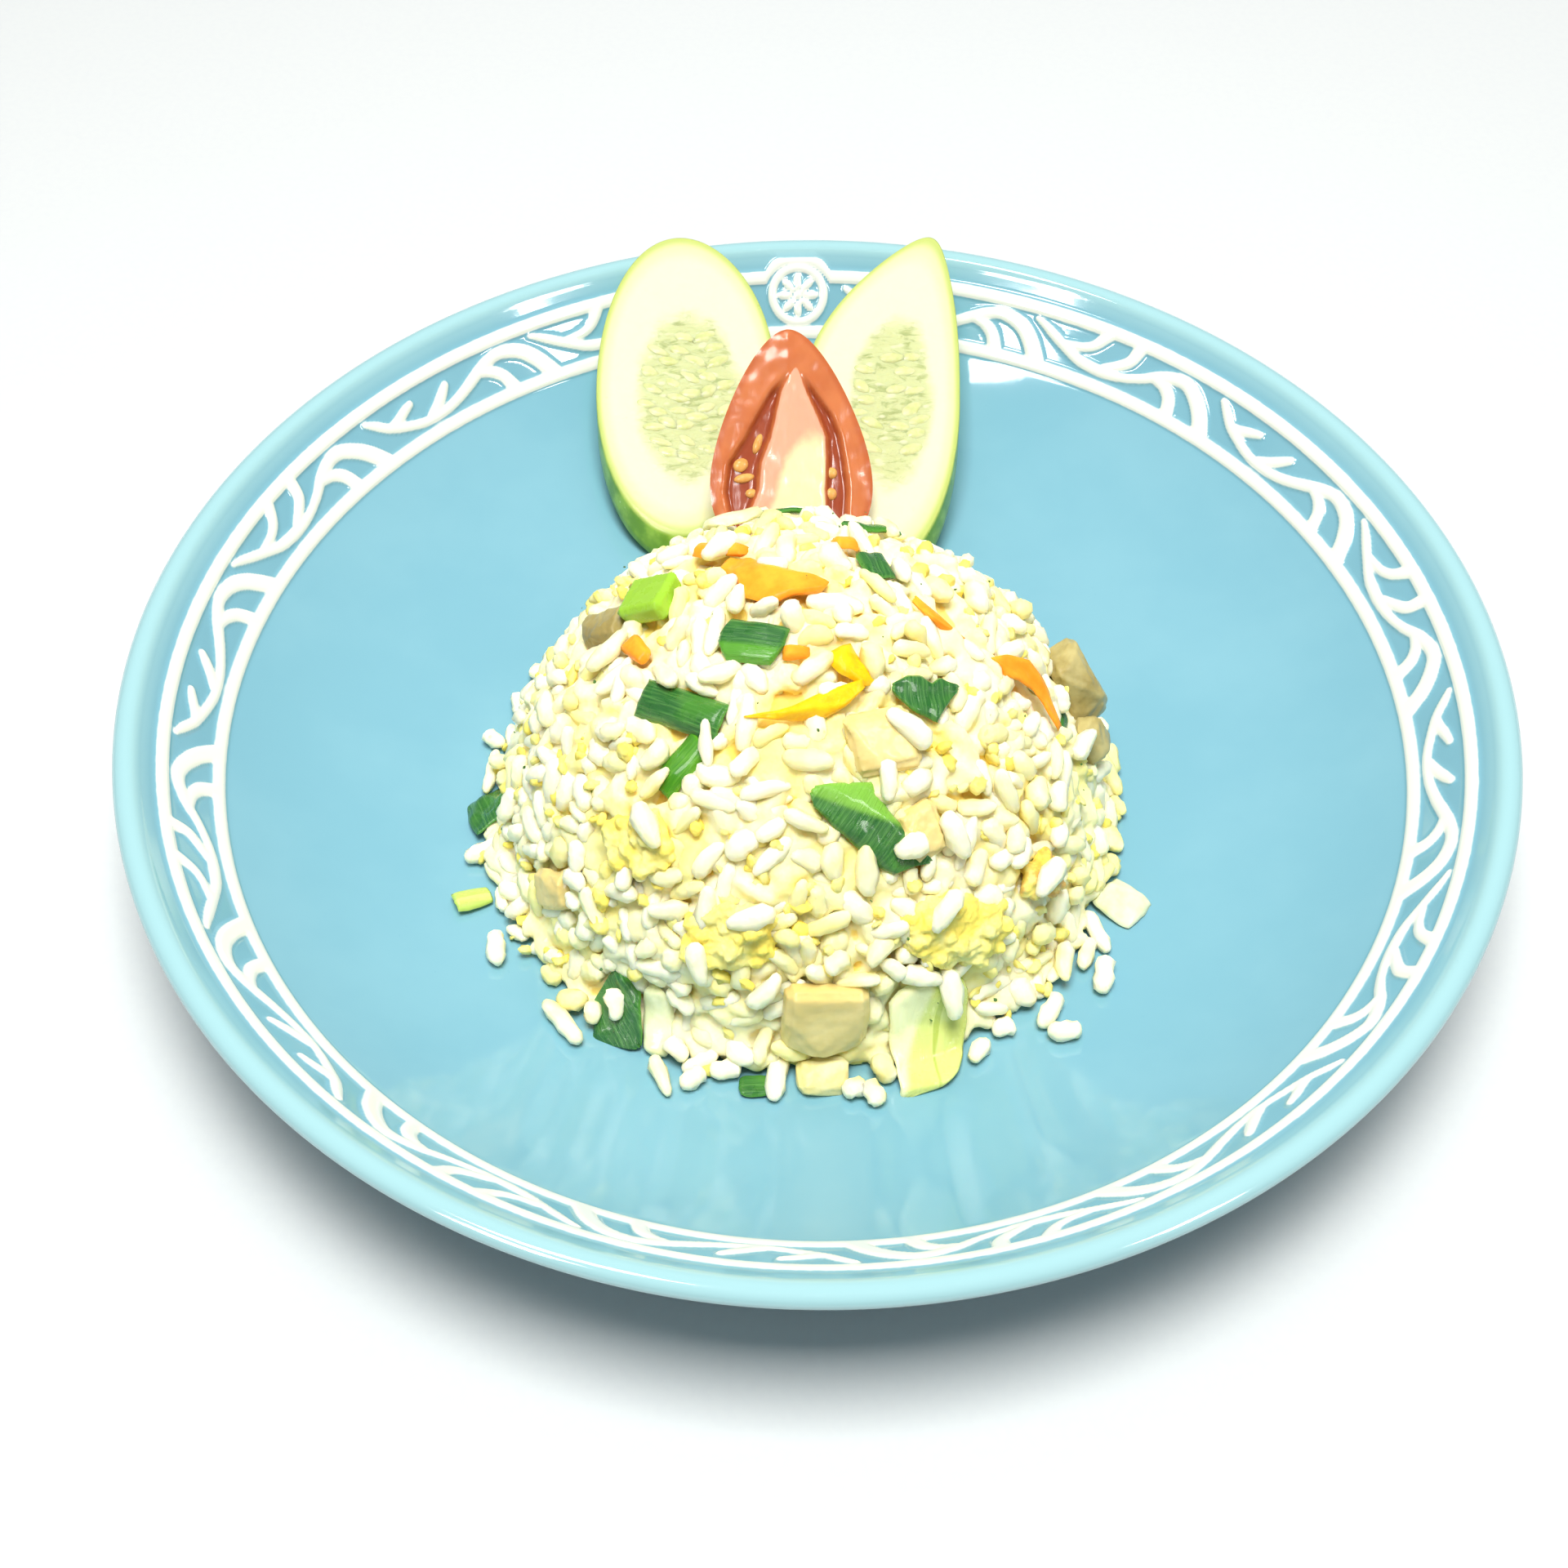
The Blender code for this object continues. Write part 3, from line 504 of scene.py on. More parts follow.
CUCUMBER = CucumberFinish("cut cucumber", 0.3, glow=0.35, depth=2.5 * MM, coat=0.15)
SEED_WET = PlainFinish("cucumber seed", 0.2, glow=0.4, colour=(0.62, 0.635, 0.33), other=(0.53, 0.57, 0.24))
TOMATO = TomatoFinish("cut tomato", 0.2, glow=0.3, depth=2 * MM, coat=0.4)
TOMATO_SEED = PlainFinish("tomato seed", 0.2, glow=0.4, colour=(0.70, 0.38, 0.11), other=(0.62, 0.28, 0.07))
HEART_GREEN = PlainFinish("tomato heart", 0.3, glow=0.3, colour=(0.60, 0.68, 0.10),
                          other=(0.48, 0.60, 0.08))
HERB = PlainFinish("herb fleck", 0.4, colour=(0.05, 0.16, 0.03), other=(0.12, 0.18, 0.04))
FLOOR = PlainFinish("pale floor", 0.6, colour=(0.61, 0.635, 0.635), other=(0.60, 0.625, 0.63), relief=0.0)


# ---------------------------------------------------------------- mesh helpers


def finish_mesh(mesh: bpy.types.Mesh, finish: Finish) -> None:
    """Gives a mesh its one finish and shades it smooth."""
    mesh.materials.clear()
    mesh.materials.append(finish.material())
    mesh.shade_smooth()


def new_object(name: str, mesh: bpy.types.Mesh, finish: Finish) -> Piece:
    """Puts a mesh in the scene, smooth, with its finish."""
    finish_mesh(mesh, finish)
    obj = bpy.data.objects.new(name, mesh)
    bpy.context.scene.collection.objects.link(obj)
    return obj


def mesh_of(name: str, points: Any, faces: Iterable[Sequence[int]]) -> bpy.types.Mesh:
    """Makes a mesh from points and faces."""
    mesh = bpy.data.meshes.new(name)
    mesh.from_pydata([tuple(point) for point in points], [], [tuple(face) for face in faces])
    return mesh


def carry(mesh: bpy.types.Mesh, name: str, values: Any) -> None:
    """Gives every point of a mesh a number, or a vector of three."""
    array = np.asarray(values, dtype=np.float32)
    if array.ndim == 2:
        mesh.attributes.new(name, "FLOAT_VECTOR", "POINT").data.foreach_set("vector", array.ravel())
    else:
        mesh.attributes.new(name, "FLOAT", "POINT").data.foreach_set("value", array)


def settle(piece: Piece, slot: str, *nodes: str) -> Piece:
    """Ties a finished piece to the body and hides the nodes that it stands for."""
    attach(piece, BODY)
    if nodes:
        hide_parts(*nodes)
    LOG.info("%s: %d points", piece.name, len(piece.data.vertices))
    return piece


def leaning(middle: Sequence[float], turn: float, slope: float) -> Matrix:
    """Place in the dish of a piece turned about Z, then leant back, both in degrees."""
    place = Matrix.Translation(middle) @ Matrix.Rotation(math.radians(turn), 4, "Z")
    return place @ Matrix.Rotation(math.radians(slope), 4, "X")


def mesh_from(shape: bmesh.types.BMesh, name: str) -> bpy.types.Mesh:
    """Makes a mesh from a finished bmesh and frees it."""
    mesh = bpy.data.meshes.new(name)
    shape.to_mesh(mesh)
    shape.free()
    return mesh


def smoothstep(value: Any, low: float, high: float) -> Any:
    """Rises smoothly from 0 to 1 between two values."""
    share = np.clip((value - low) / (high - low), 0, 1)
    return share * share * (3 - 2 * share)


def ring_faces(lower: Sequence[int], upper: Sequence[int]) -> list[tuple[int, ...]]:
    """Faces between two closed rings, of which one may have several times the points of the other.

    Args:
        lower: numbers of one ring's points.
        upper: numbers of the other's.

    Returns:
        Quads, or faces with more corners where the counts differ.
    """
    faces = []
    coarse, fine = min(len(lower), len(upper)), max(len(lower), len(upper))
    ratio = fine // coarse
    for i in range(coarse):
        j = (i + 1) % coarse
        if ratio == 1:
            faces.append((lower[i], lower[j], upper[j], upper[i]))
        elif len(upper) == fine:
            edge = [upper[(i * ratio + k) % fine] for k in range(ratio + 1)]
            faces.append((lower[i], lower[j], *reversed(edge)))
        else:
            edge = [lower[(i * ratio + k) % fine] for k in range(ratio + 1)]
            faces.append((*edge, upper[j], upper[i]))
    return faces


def fan(middle: int, ring: Sequence[int], flip: bool = False) -> list[tuple[int, int, int]]:
    """Triangles from a middle point to a closed ring, turned over if asked."""
    pairs = zip(ring, [*ring[1:], ring[0]])
    return [(middle, after, start) if flip else (middle, start, after) for start, after in pairs]


def closed_sheet(top: np.ndarray, bottom: np.ndarray) -> tuple[np.ndarray, list[tuple[int, ...]]]:
    """Joins two grids of points, upper and lower, with a rim into one closed body.

    Args:
        top: points of the upper face, rows by columns by 3.
        bottom: points of the lower face, of the same shape.

    Returns:
        All the points, upper first, and the faces.
    """
    rows, columns = top.shape[:2]
    count = rows * columns
    points = np.concatenate([top.reshape(-1, 3), bottom.reshape(-1, 3)])
    index = np.arange(count).reshape(rows, columns)
    faces: list[tuple[int, ...]] = []
    for i in range(rows - 1):
        for j in range(columns - 1):
            a, b, c, d = index[i, j], index[i + 1, j], index[i + 1, j + 1], index[i, j + 1]
            faces.append((a, b, c, d))
            faces.append((d + count, c + count, b + count, a + count))
    border = [*index[0, :-1], *index[:-1, -1], *index[-1, :0:-1], *index[:0:-1, 0]]
    for start, end in zip(border, border[1:] + border[:1]):
        faces.append((start, end, end + count, start + count))
    return points, faces


# ---------------------------------------------------------------- plate


class Trough(Enum):
    """What fills the border's hollows between two arches."""

    BUDS = "two buds that point back along the stem"
    SHOOTS = "two shoots that come down from the outer line"


Stroke = tuple[Triple, ...]

# Stations of each stroke: steps of Plate.unit degrees along its arch, height from 0 at the inner line
# to 100 at the outer one, and half width.
ARCH_STROKES: dict[Trough, tuple[Stroke, ...]] = {
    Trough.SHOOTS: (
        ((26, -6, 19), (57, 37, 17), (99, 69, 15), (135, 79, 13), (187, 66, 11), (229, 44, 9),
         (271, 29, 8), (312, 23, 9.5), (354, 24, 11), (396, 30, 10), (437, 47, 9), (474, 66, 9),
         (500, 80, 7), (522, 90, 4)),
        ((129, -6, 16), (143, 30, 14), (169, 50, 11), (203, 55, 7)),
        ((262, 104, 15), (271, 69, 12), (297, 48, 10), (328, 32, 8)),
        ((346, 104, 14), (367, 74, 10), (396, 59, 8), (440, 54, 7)),
    ),
    Trough.BUDS: (
        ((28, -6, 19), (60, 40, 17), (96, 69, 15), (143, 80, 12), (185, 71, 11), (226, 53, 11),
         (263, 37, 10), (310, 23, 9), (357, 18, 8.5), (398, 22, 8.5), (440, 35, 9), (476, 50, 9),
         (503, 71, 9), (526, 88, 5)),
        ((138, -6, 16), (154, 30, 13), (180, 50, 11), (208, 56, 7)),
        ((299, 69, 7), (318, 53, 10), (344, 35, 10), (367, 25, 8)),
        ((400, 71, 6), (424, 63, 9), (453, 53, 9), (476, 50, 7)),
    ),
}


def flowing(stroke: Stroke) -> list[Triple]:
    """A stroke with more stations, on a smooth curve through the given ones."""
    ends = [stroke[0], *stroke, stroke[-1]]
    line = []
    for before, start, end, after in zip(ends, ends[1:], ends[2:], ends[3:]):
        for t in (0, 0.25, 0.5, 0.75):
            line.append(tuple(0.5 * (2 * b + (c - a) * t + (2 * a - 5 * b + 4 * c - d) * t * t
                                     + (3 * b - a - 3 * c + d) * t**3)
                              for a, b, c, d in zip(before, start, end, after)))
    return [*line, stroke[-1]]


@dataclass
class Plate:
    """Turned coupe plate with a running scroll border between two raised lines."""

    floor_top: float = 9.5 * MM
    floor_radius: float = 60 * MM
    inner_line: Pair = (99.65 * MM, 21.6 * MM)
    outer_line: Pair = (108.4 * MM, 30.76 * MM)
    line_width: float = 1.4 * MM
    lip_middle: Pair = (112.9 * MM, 32.9 * MM)
    lip_radii: Pair = (2.1 * MM, 1.6 * MM)
    wall: float = 4.8 * MM
    relief: float = 0.5 * MM
    coarse_steps: int = 360
    fine_steps: int = 1800
    band_start: float = 98.9 * MM
    band_end: float = 110.6 * MM
    band_rows: int = 38
    first_arch: float = 9.03
    arch_spans: Pair = (20.87, 22.57)
    arches: int = 16
    unit: float = 0.0447
    medal_angle: float = 2.65
    medal_height: float = 72.0
    points: list[np.ndarray] = field(default_factory=list)
    extras: dict[str, list[np.ndarray]] = field(default_factory=lambda: defaultdict(list))

    def surface(self, radius: float) -> float:
        """Height of the upper face at a distance from the axis."""
        if radius <= self.floor_radius:
            return self.floor_top
        if radius <= self.inner_line[0]:
            run = self.inner_line[0] - self.floor_radius
            sweep = 2 * math.atan2(self.inner_line[1] - self.floor_top, run)
            bow = run / math.sin(sweep)
            return self.floor_top + bow * (1 - math.cos(math.asin((radius - self.floor_radius) / bow)))
        slope = (self.outer_line[1] - self.inner_line[1]) / (self.outer_line[0] - self.inner_line[0])
        return self.inner_line[1] + slope * (radius - self.inner_line[0])

    def strokes_depth(self, along: np.ndarray, height: np.ndarray, strokes: Iterable[Stroke]) -> np.ndarray:
        """How far inside the nearest of some tapered strokes each place is; negative outside."""
        depth = np.full(along.shape, -99.0)
        for stroke in map(flowing, strokes):
            for (x0, y0, w0), (x1, y1, w1) in zip(stroke, stroke[1:]):
                dx, dy = x1 - x0, y1 - y0
                share = np.clip(((along - x0) * dx + (height - y0) * dy) / (dx * dx + dy * dy), 0, 1)
                reach = np.hypot(along - x0 - dx * share, height - y0 - dy * share)
                depth = np.maximum(depth, w0 + (w1 - w0) * share - reach)
        return depth

    def border(self, turn: np.ndarray, radius: np.ndarray) -> np.ndarray:
        """Relief of the carved band.

        Args:
            turn: angles from +Y in degrees.
            radius: distances from the axis.

        Returns:
            The relief between 0 and 1, a row for each distance.
        """
        low = self.inner_line[0] + self.line_width
        high = self.outer_line[0] - self.line_width
        height = (radius - low) / (high - low) * 100
        height = np.broadcast_to(height[:, None], (len(radius), len(turn)))
        depth = 12.5 - np.abs(height + 13)
        beside = (turn - self.medal_angle + 180) % 360 - 180
        beside = np.broadcast_to(beside[None, :] / self.unit, height.shape)
        bulge = np.sqrt(np.maximum(86.0**2 - beside**2, 0)) + self.medal_height
        depth = np.maximum(depth, 12.5 - np.abs(height - np.maximum(bulge, 113)))
        start = self.first_arch
        for number in range(self.arches):
            span = self.arch_spans[number % 2]
            kind = Trough.SHOOTS if number % 2 == 0 else Trough.BUDS
            inside = ((turn - start + 3) % 360) < span + 9
            along = ((turn[inside] - start + 3) % 360 - 3) / self.unit
            along = np.broadcast_to(along[None, :], (len(radius), len(along)))
            depth[:, inside] = np.maximum(depth[:, inside],
                                          self.strokes_depth(along, height[:, inside], ARCH_STROKES[kind]))
            start += span
        return smoothstep(np.maximum(depth, self.medal(beside, height)), -7, 5)

    def medal(self, beside: np.ndarray, height: np.ndarray) -> np.ndarray:
        """Depth inside a plain round medallion with a rosette of eight petals."""
        level = height - self.medal_height
        away = np.hypot(beside, level)
        turn = np.arctan2(level, beside)
        petal = 44 * np.abs(np.cos(4 * turn)) ** 0.6 + 5 - away
        petal = np.where(away > 13, petal, -5)
        return np.maximum(np.maximum(8 - np.abs(away - 62), petal), 9 - away)

    def add_ring(self, radius: float, height: float, steps: int, **values: float) -> list[int]:
        """Adds one level ring of points and returns their numbers."""
        turn = np.radians(90 + np.arange(steps) * 360 / steps)
        ring = np.stack([radius * np.cos(turn), radius * np.sin(turn), np.full(steps, height)], 1)
        return self.add_points(ring, {name: np.full(steps, value) for name, value in values.items()})

    def add_points(self, ring: np.ndarray, values: dict[str, np.ndarray]) -> list[int]:
        """Keeps points and what they carry, and returns their numbers."""
        start = sum(len(each) for each in self.points)
        self.points.append(ring)
        for name in ("relief", "pool", "lip", "clay"):
            self.extras[name].append(values.get(name, np.zeros(len(ring))))
        return list(range(start, start + len(ring)))

    def band(self) -> list[list[int]]:
        """Adds the rings of the carved band and returns them."""
        radii = np.linspace(self.band_start, self.band_end, self.band_rows)
        turn = np.arange(self.fine_steps) * 360 / self.fine_steps
        relief = self.border(turn, radii)
        fade = smoothstep(radii, radii[0], radii[1]) * (1 - smoothstep(radii, radii[-3], radii[-1]))
        relief = relief * fade[:, None]
        pool = np.clip(1 - np.abs(relief - 0.12) * 6, 0, 1) * 0.8
        slope = math.atan2(self.outer_line[1] - self.inner_line[1], self.outer_line[0] - self.inner_line[0])
        angle = np.radians(90 + turn)
        rings = []
        for row, radius in enumerate(radii):
            lift = relief[row] * self.relief
            out = radius - lift * math.sin(slope)
            up = self.surface(radius) + lift * math.cos(slope)
            ring = np.stack([out * np.cos(angle), out * np.sin(angle), up], 1)
            lip = np.full(len(turn), float(smoothstep(radius, 108.6 * MM, self.band_end)) * 0.5)
            rings.append(self.add_points(ring, {"relief": relief[row], "pool": pool[row], "lip": lip}))
        return rings

    def lip_and_foot(self) -> list[list[int]]:
        """Adds the rings from the lip down the outside and under the foot."""
        rings = []
        for degrees in (140, 120, 100, 80, 60, 40, 20, 0, -20, -45, -70):
            turn = math.radians(degrees)
            rings.append(self.add_ring(self.lip_middle[0] + self.lip_radii[0] * math.cos(turn),
                                       self.lip_middle[1] + self.lip_radii[1] * math.sin(turn),
                                       self.coarse_steps, lip=1.0 if degrees > -30 else 0.6))
        section = [(111.6, 26.36, 0), (107.6, 21.6, 0), (103.05, 17.0, 0)]
        for radius in (96, 88, 81, 74, 68):
            section.append((radius + 1.5, self.surface(radius * MM) / MM - self.wall / MM, 0))
        section += [(64.5, 3.9, 0), (62.5, 3.5, 0), (61.3, 1.4, 0), (60.9, 0.25, 1), (60.6, 0, 1),
                    (58.0, 0, 1), (57.6, 0.3, 1), (57.2, 2.0, 0), (56.6, 3.8, 0), (50, 4, 0), (25, 4, 0)]
        for radius, height, clay in section:
            rings.append(self.add_ring(radius * MM, height * MM, self.coarse_steps, clay=float(clay)))
        return rings

    def build(self) -> Piece:
        """Builds the plate as one closed mesh."""
        middle = self.add_points(np.array([[0, 0, self.floor_top]]), {})[0]
        rings = [self.add_ring(radius * MM, self.floor_top, self.coarse_steps)
                 for radius in (3, 8, 15, 25, 35, 45, 52, 57, 60)]
        for radius in np.linspace(62 * MM, self.band_start - 0.6 * MM, 18):
            rings.append(self.add_ring(radius, self.surface(radius), self.coarse_steps))
        rings += self.band() + self.lip_and_foot()
        under = self.add_points(np.array([[0, 0, 4 * MM]]), {})[0]
        faces: list[tuple[int, ...]] = list(fan(middle, rings[0]))
        for lower, upper in zip(rings, rings[1:]):
            faces += [tuple(reversed(face)) for face in ring_faces(lower, upper)]
        faces += fan(under, rings[-1], flip=True)
        mesh = mesh_of("plate_glazed", np.concatenate(self.points), faces)
        for name, values in self.extras.items():
            carry(mesh, name, np.concatenate(values))
        return settle(new_object("plate_glazed", mesh, GLAZE), "glaze", "plate")


# ---------------------------------------------------------------- garnish


@dataclass
class CucumberSlice:
    """Bias-cut slice: the same oval as its solid, with a seed bed and seeds."""

    node: str
    middle: Triple
    length: float
    width: float
    turn: float
    tip: float
    tip_side: float
    bed_middle: Pair
    bed_size: Pair
    columns: tuple[float, ...]
    seeds: int
    seed_number: int
    thickness: float = 5 * MM
    lean_share: float = 0.85
    slope: float = 22
    rings: int = 34
    steps: int = 128

    def flat(self, across: float, along: float, level: float) -> Vector:
        """Point of the slice in its own plane, from a place in a unit disc."""
        upper = max(along, 0)
        narrowing = 1 - self.tip * upper**2.5
        lean = (0.5 - level) * self.thickness * self.lean_share
        return Vector(((across * narrowing + self.tip_side * upper**2) * self.width / 2,
                       along * self.length / 2 - lean, level * self.thickness))

    def bed_share(self, across: float, along: float) -> float:
        """How much a place of the unit disc belongs to the seed bed, from 0 to 1."""
        away = math.hypot((across - self.bed_middle[0]) / self.bed_size[0],
                          (along - self.bed_middle[1]) / self.bed_size[1])
        return float(1 - smoothstep(away, 0.55, 1.12))

    def build(self) -> Piece:
        """Builds the cut face as rings, the rind's side and the lower face."""
        rows: list[Triple] = []
        for number in range(1, self.rings + 1):
            rows.append(((number / self.rings) ** 0.85 * 0.985, 0.5, 0))
        rows += [(0.996, 0.47, 0.4), (1.0, 0.40, 1), (1.0, 0.2, 1), (1.0, 0, 1), (1.0, -0.2, 1),
                 (1.0, -0.42, 1), (0.985, -0.5, 1), (0.8, -0.5, 0), (0.45, -0.5, 0)]
        flats = [self.flat(0, 0, 0.5)]
        carried = [(99 * MM, self.bed_share(0, 0), 0.0)]
        for radius, level, skin in rows:
            for step in range(self.steps):
                turn = math.tau * step / self.steps
                across, along = radius * math.cos(turn), radius * math.sin(turn)
                spot = self.flat(across, along, level)
                edge = (1 - radius) * min(self.width, self.length) / 2 if level == 0.5 else 0
                bed = self.bed_share(across, along) if level == 0.5 else 0
                if level == 0.5:
                    ripple = noise.noise(Vector((spot.x * 420, spot.y * 900, 3.1)))
                    spot.z -= bed * 0.3 * MM * (0.7 + ripple) - 0.15 * MM * (1 - radius**6)
                flats.append(spot)
                carried.append((edge, bed, skin))
        flats.append(self.flat(0, 0, -0.5))
        carried.append((0.0, 0.0, 0.0))
        count = len(rows)
        ring = [[1 + row * self.steps + step for step in range(self.steps)] for row in range(count)]
        faces: list[tuple[int, ...]] = list(fan(0, ring[0]))
        for lower, upper in zip(ring, ring[1:]):
            faces += [tuple(reversed(face)) for face in ring_faces(lower, upper)]
        faces += fan(len(flats) - 1, ring[-1], flip=True)
        place = leaning(self.middle, self.turn, self.slope)
        mesh = mesh_of(self.node + "_slice", [place @ spot for spot in flats], faces)
        edge, bed, skin = zip(*carried)
        carry(mesh, "edge", edge)
        carry(mesh, "bed", bed)
        carry(mesh, "skin", skin)
        carry(mesh, "lay", [tuple(spot) for spot in flats])
        self.build_seeds(place)
        return settle(new_object(self.node + "_slice", mesh, CUCUMBER), "cucumber", self.node)

    def build_seeds(self, place: Matrix) -> None:
        """Lays wet seeds in the bed, in columns, half sunk in it."""
        draw = random.Random(self.seed_number)
        shape = bmesh.new()
        laid: list[Vector] = []
        for _ in range(self.seeds * 14):
            if len(laid) >= self.seeds:
                break
            column = draw.choice(self.columns)
            across = column + draw.gauss(0, 0.09)
            along = self.bed_middle[1] + draw.uniform(-0.9, 0.9) * self.bed_size[1]
            if self.bed_share(across, along) < 0.85:
                continue
            spot = self.flat(across, along, 0.5)
            if any((spot - other).length < 2.7 * MM for other in laid):
                continue
            laid.append(spot)
            seed = bmesh.ops.create_uvsphere(shape, u_segments=10, v_segments=8, radius=1)["verts"]
            long, wide, high = (draw.uniform(*ends) * MM for ends in ((2.2, 3.1), (1.0, 1.5), (0.4, 0.6)))
            lean = Matrix.Rotation(draw.gauss(0, 0.22) + (0.25 if column > 0 else -0.25), 4, "Z")
            for vert in seed:
                point = vert.co
                taper = 1 - 0.35 * max(point.x, 0)
                vert.co = Vector((point.x * long, point.y * wide * taper, point.z * high))
            sink = Matrix.Translation(spot - Vector((0, 0, 0.3 * MM)))
            bmesh.ops.transform(shape, matrix=place @ sink @ lean, verts=seed)
        mesh = mesh_from(shape, self.node + "_seeds")
        settle(new_object(self.node + "_seeds", mesh, SEED_WET), "cucumber")


@dataclass
class TomatoWedge:
    """Plum tomato wedge, cut side up: wall, two chambers with seeds, and a pale core."""

    middle: Triple = (-5.4 * MM, 56 * MM, 33.2 * MM)
    turn: float = 3
    slope: float = 42
    length: float = 40 * MM
    half_width: float = 14.9 * MM
    depth: float = 7 * MM
    ridge: float = 2.2 * MM
    weight: float = 2.07
    bluntness: float = 0.27
    rows: int = 96
    columns: int = 72
    stations: tuple[float, ...] = (0.0, 0.177, 0.28, 0.39, 0.49, 0.60, 0.735, 0.87, 1.0)
    core_left: tuple[float, ...] = (1.0, 0.9, -1.4, -2.5, -3.5, -5.3, -6.0, -8.4, -9.0)
    core_right: tuple[float, ...] = (1.0, 1.6, 2.9, 4.8, 6.4, 6.4, 6.0, 6.2, 6.0)
    chamber_left: tuple[float, ...] = (0.0, 0.3, -3.6, -6.3, -8.6, -11.6, -12.4, -11.4, -10.0)
    chamber_right: tuple[float, ...] = (1.0, 2.0, 4.6, 7.8, 9.3, 10.0, 10.6, 10.2, 9.0)

    def girth(self, lower: float) -> float:
        """Half width at a distance from the tip, as a share of the widest."""
        return max(math.sin(math.pi * min(lower, 1) ** self.weight), 0) ** self.bluntness

    def build(self) -> Piece:
        """Builds the cut face and the skin side as one closed sheet."""
        top = np.zeros((self.rows, self.columns, 3))
        bottom = np.zeros_like(top)
        carried = {name: np.zeros((2, self.rows, self.columns))
                   for name in ("edge", "core", "heart", "chamber")}
        for i in range(self.rows):
            along = math.cos(math.pi * (1 - i / (self.rows - 1)))
            lower = (1 - along) / 2
            girth = self.girth(lower)
            for j in range(self.columns):
                side = math.sin(math.pi * (j / (self.columns - 1) - 0.5))
                across = side * self.half_width * girth
                edge = (1 - abs(side)) * self.half_width * girth
                marks = self.marks(across / MM, lower, edge)
                uneven = noise.noise(Vector((across * 400, along * 9, 5)))
                dent = marks["chamber"] * 1.7 * MM + 0.15 * MM * uneven
                top[i, j] = (across, along * self.length / 2, self.ridge * (1 - abs(side)) * girth - dent)
                bottom[i, j] = (across, along * self.length / 2,
                                -self.depth * girth * math.sqrt(max(1 - side * side, 0)) - 0.02 * MM)
                for name in carried:
                    carried[name][0, i, j] = marks.get(name, 0.0)
        points, faces = closed_sheet(top, bottom)
        place = leaning(self.middle, self.turn, self.slope)
        mesh = mesh_of("tomato_cut", [place @ Vector(point) for point in points], faces)
        for name, values in carried.items():
            carry(mesh, name, values.ravel())
        skin = np.concatenate([np.zeros(self.rows * self.columns), np.ones(self.rows * self.columns)])
        carry(mesh, "skin", skin)
        carry(mesh, "lay", points)
        outward_faces(mesh)
        self.build_seeds(place)
        return settle(new_object("tomato_cut", mesh, TOMATO), "tomato", "tomato_wedge")

    def marks(self, across: float, lower: float, edge: float) -> dict[str, float]:
        """What the cut shows at a place.

        Args:
            across: place to the side, in millimetres.
            lower: share of the way from the tip to the end.
            edge: distance to the skin.

        Returns:
            Each mark's name and strength.
        """
        sides = (self.core_left, self.core_right, self.chamber_left, self.chamber_right)
        core_left, core_right, left, right = (float(np.interp(lower, self.stations, side)) for side in sides)
        open_share = float(smoothstep(lower, 0.17, 0.30) * (1 - smoothstep(lower, 0.93, 1.0)))
        core = float(smoothstep(across, core_left - 0.5, core_left + 0.5)
                     * (1 - smoothstep(across, core_right - 0.5, core_right + 0.5))
                     * smoothstep(lower, 0.15, 0.2))
        hollow = max(float(smoothstep(across, left - 0.4, left + 0.9)
                           * (1 - smoothstep(across, core_left - 0.9, core_left + 0.2))),
                     float(smoothstep(across, core_right - 0.2, core_right + 0.9)
                           * (1 - smoothstep(across, right - 0.9, right + 0.4))))
        heart = float(core * smoothstep(lower, 0.32, 0.66) * smoothstep(across + 12 * (lower - 0.5), -3, 3))
        return {"edge": edge, "core": core, "chamber": hollow * open_share, "heart": heart}

    def build_seeds(self, place: Matrix) -> None:
        """Adds the seeds in the chambers and the green bit at the heart."""
        spots = ((-6.0, 0.515, 0.8, 2.0, -20, TOMATO_SEED), (-9.2, 0.61, 1.5, 1.25, 30, TOMATO_SEED),
                 (-8.6, 0.67, 2.0, 0.85, 10, TOMATO_SEED), (-7.3, 0.74, 1.2, 0.9, 0, TOMATO_SEED),
                 (7.4, 0.655, 1.1, 1.1, -25, TOMATO_SEED), (7.2, 0.75, 1.15, 1.2, 0, TOMATO_SEED),
                 (-1.2, 0.82, 1.2, 2.5, 0, HEART_GREEN))
        for number, (across, lower, wide, long, lean, finish) in enumerate(spots):
            shape = bmesh.new()
            bmesh.ops.create_uvsphere(shape, u_segments=16, v_segments=10, radius=1)
            lift = -0.7 * MM if finish is TOMATO_SEED else 1.1 * MM
            along = (1 - 2 * lower) * self.length / 2
            spot = leaning((across * MM, along, lift), lean, 0)
            for vert in shape.verts:
                vert.co = Vector((vert.co.x * wide * MM, vert.co.y * long * MM, vert.co.z * 0.7 * MM))
            bmesh.ops.transform(shape, matrix=place @ spot, verts=shape.verts)
            name = f"tomato_seed_{number}" if finish is TOMATO_SEED else "tomato_heart"
            settle(new_object(name, mesh_from(shape, name), finish), "tomato")


# ---------------------------------------------------------------- toppings


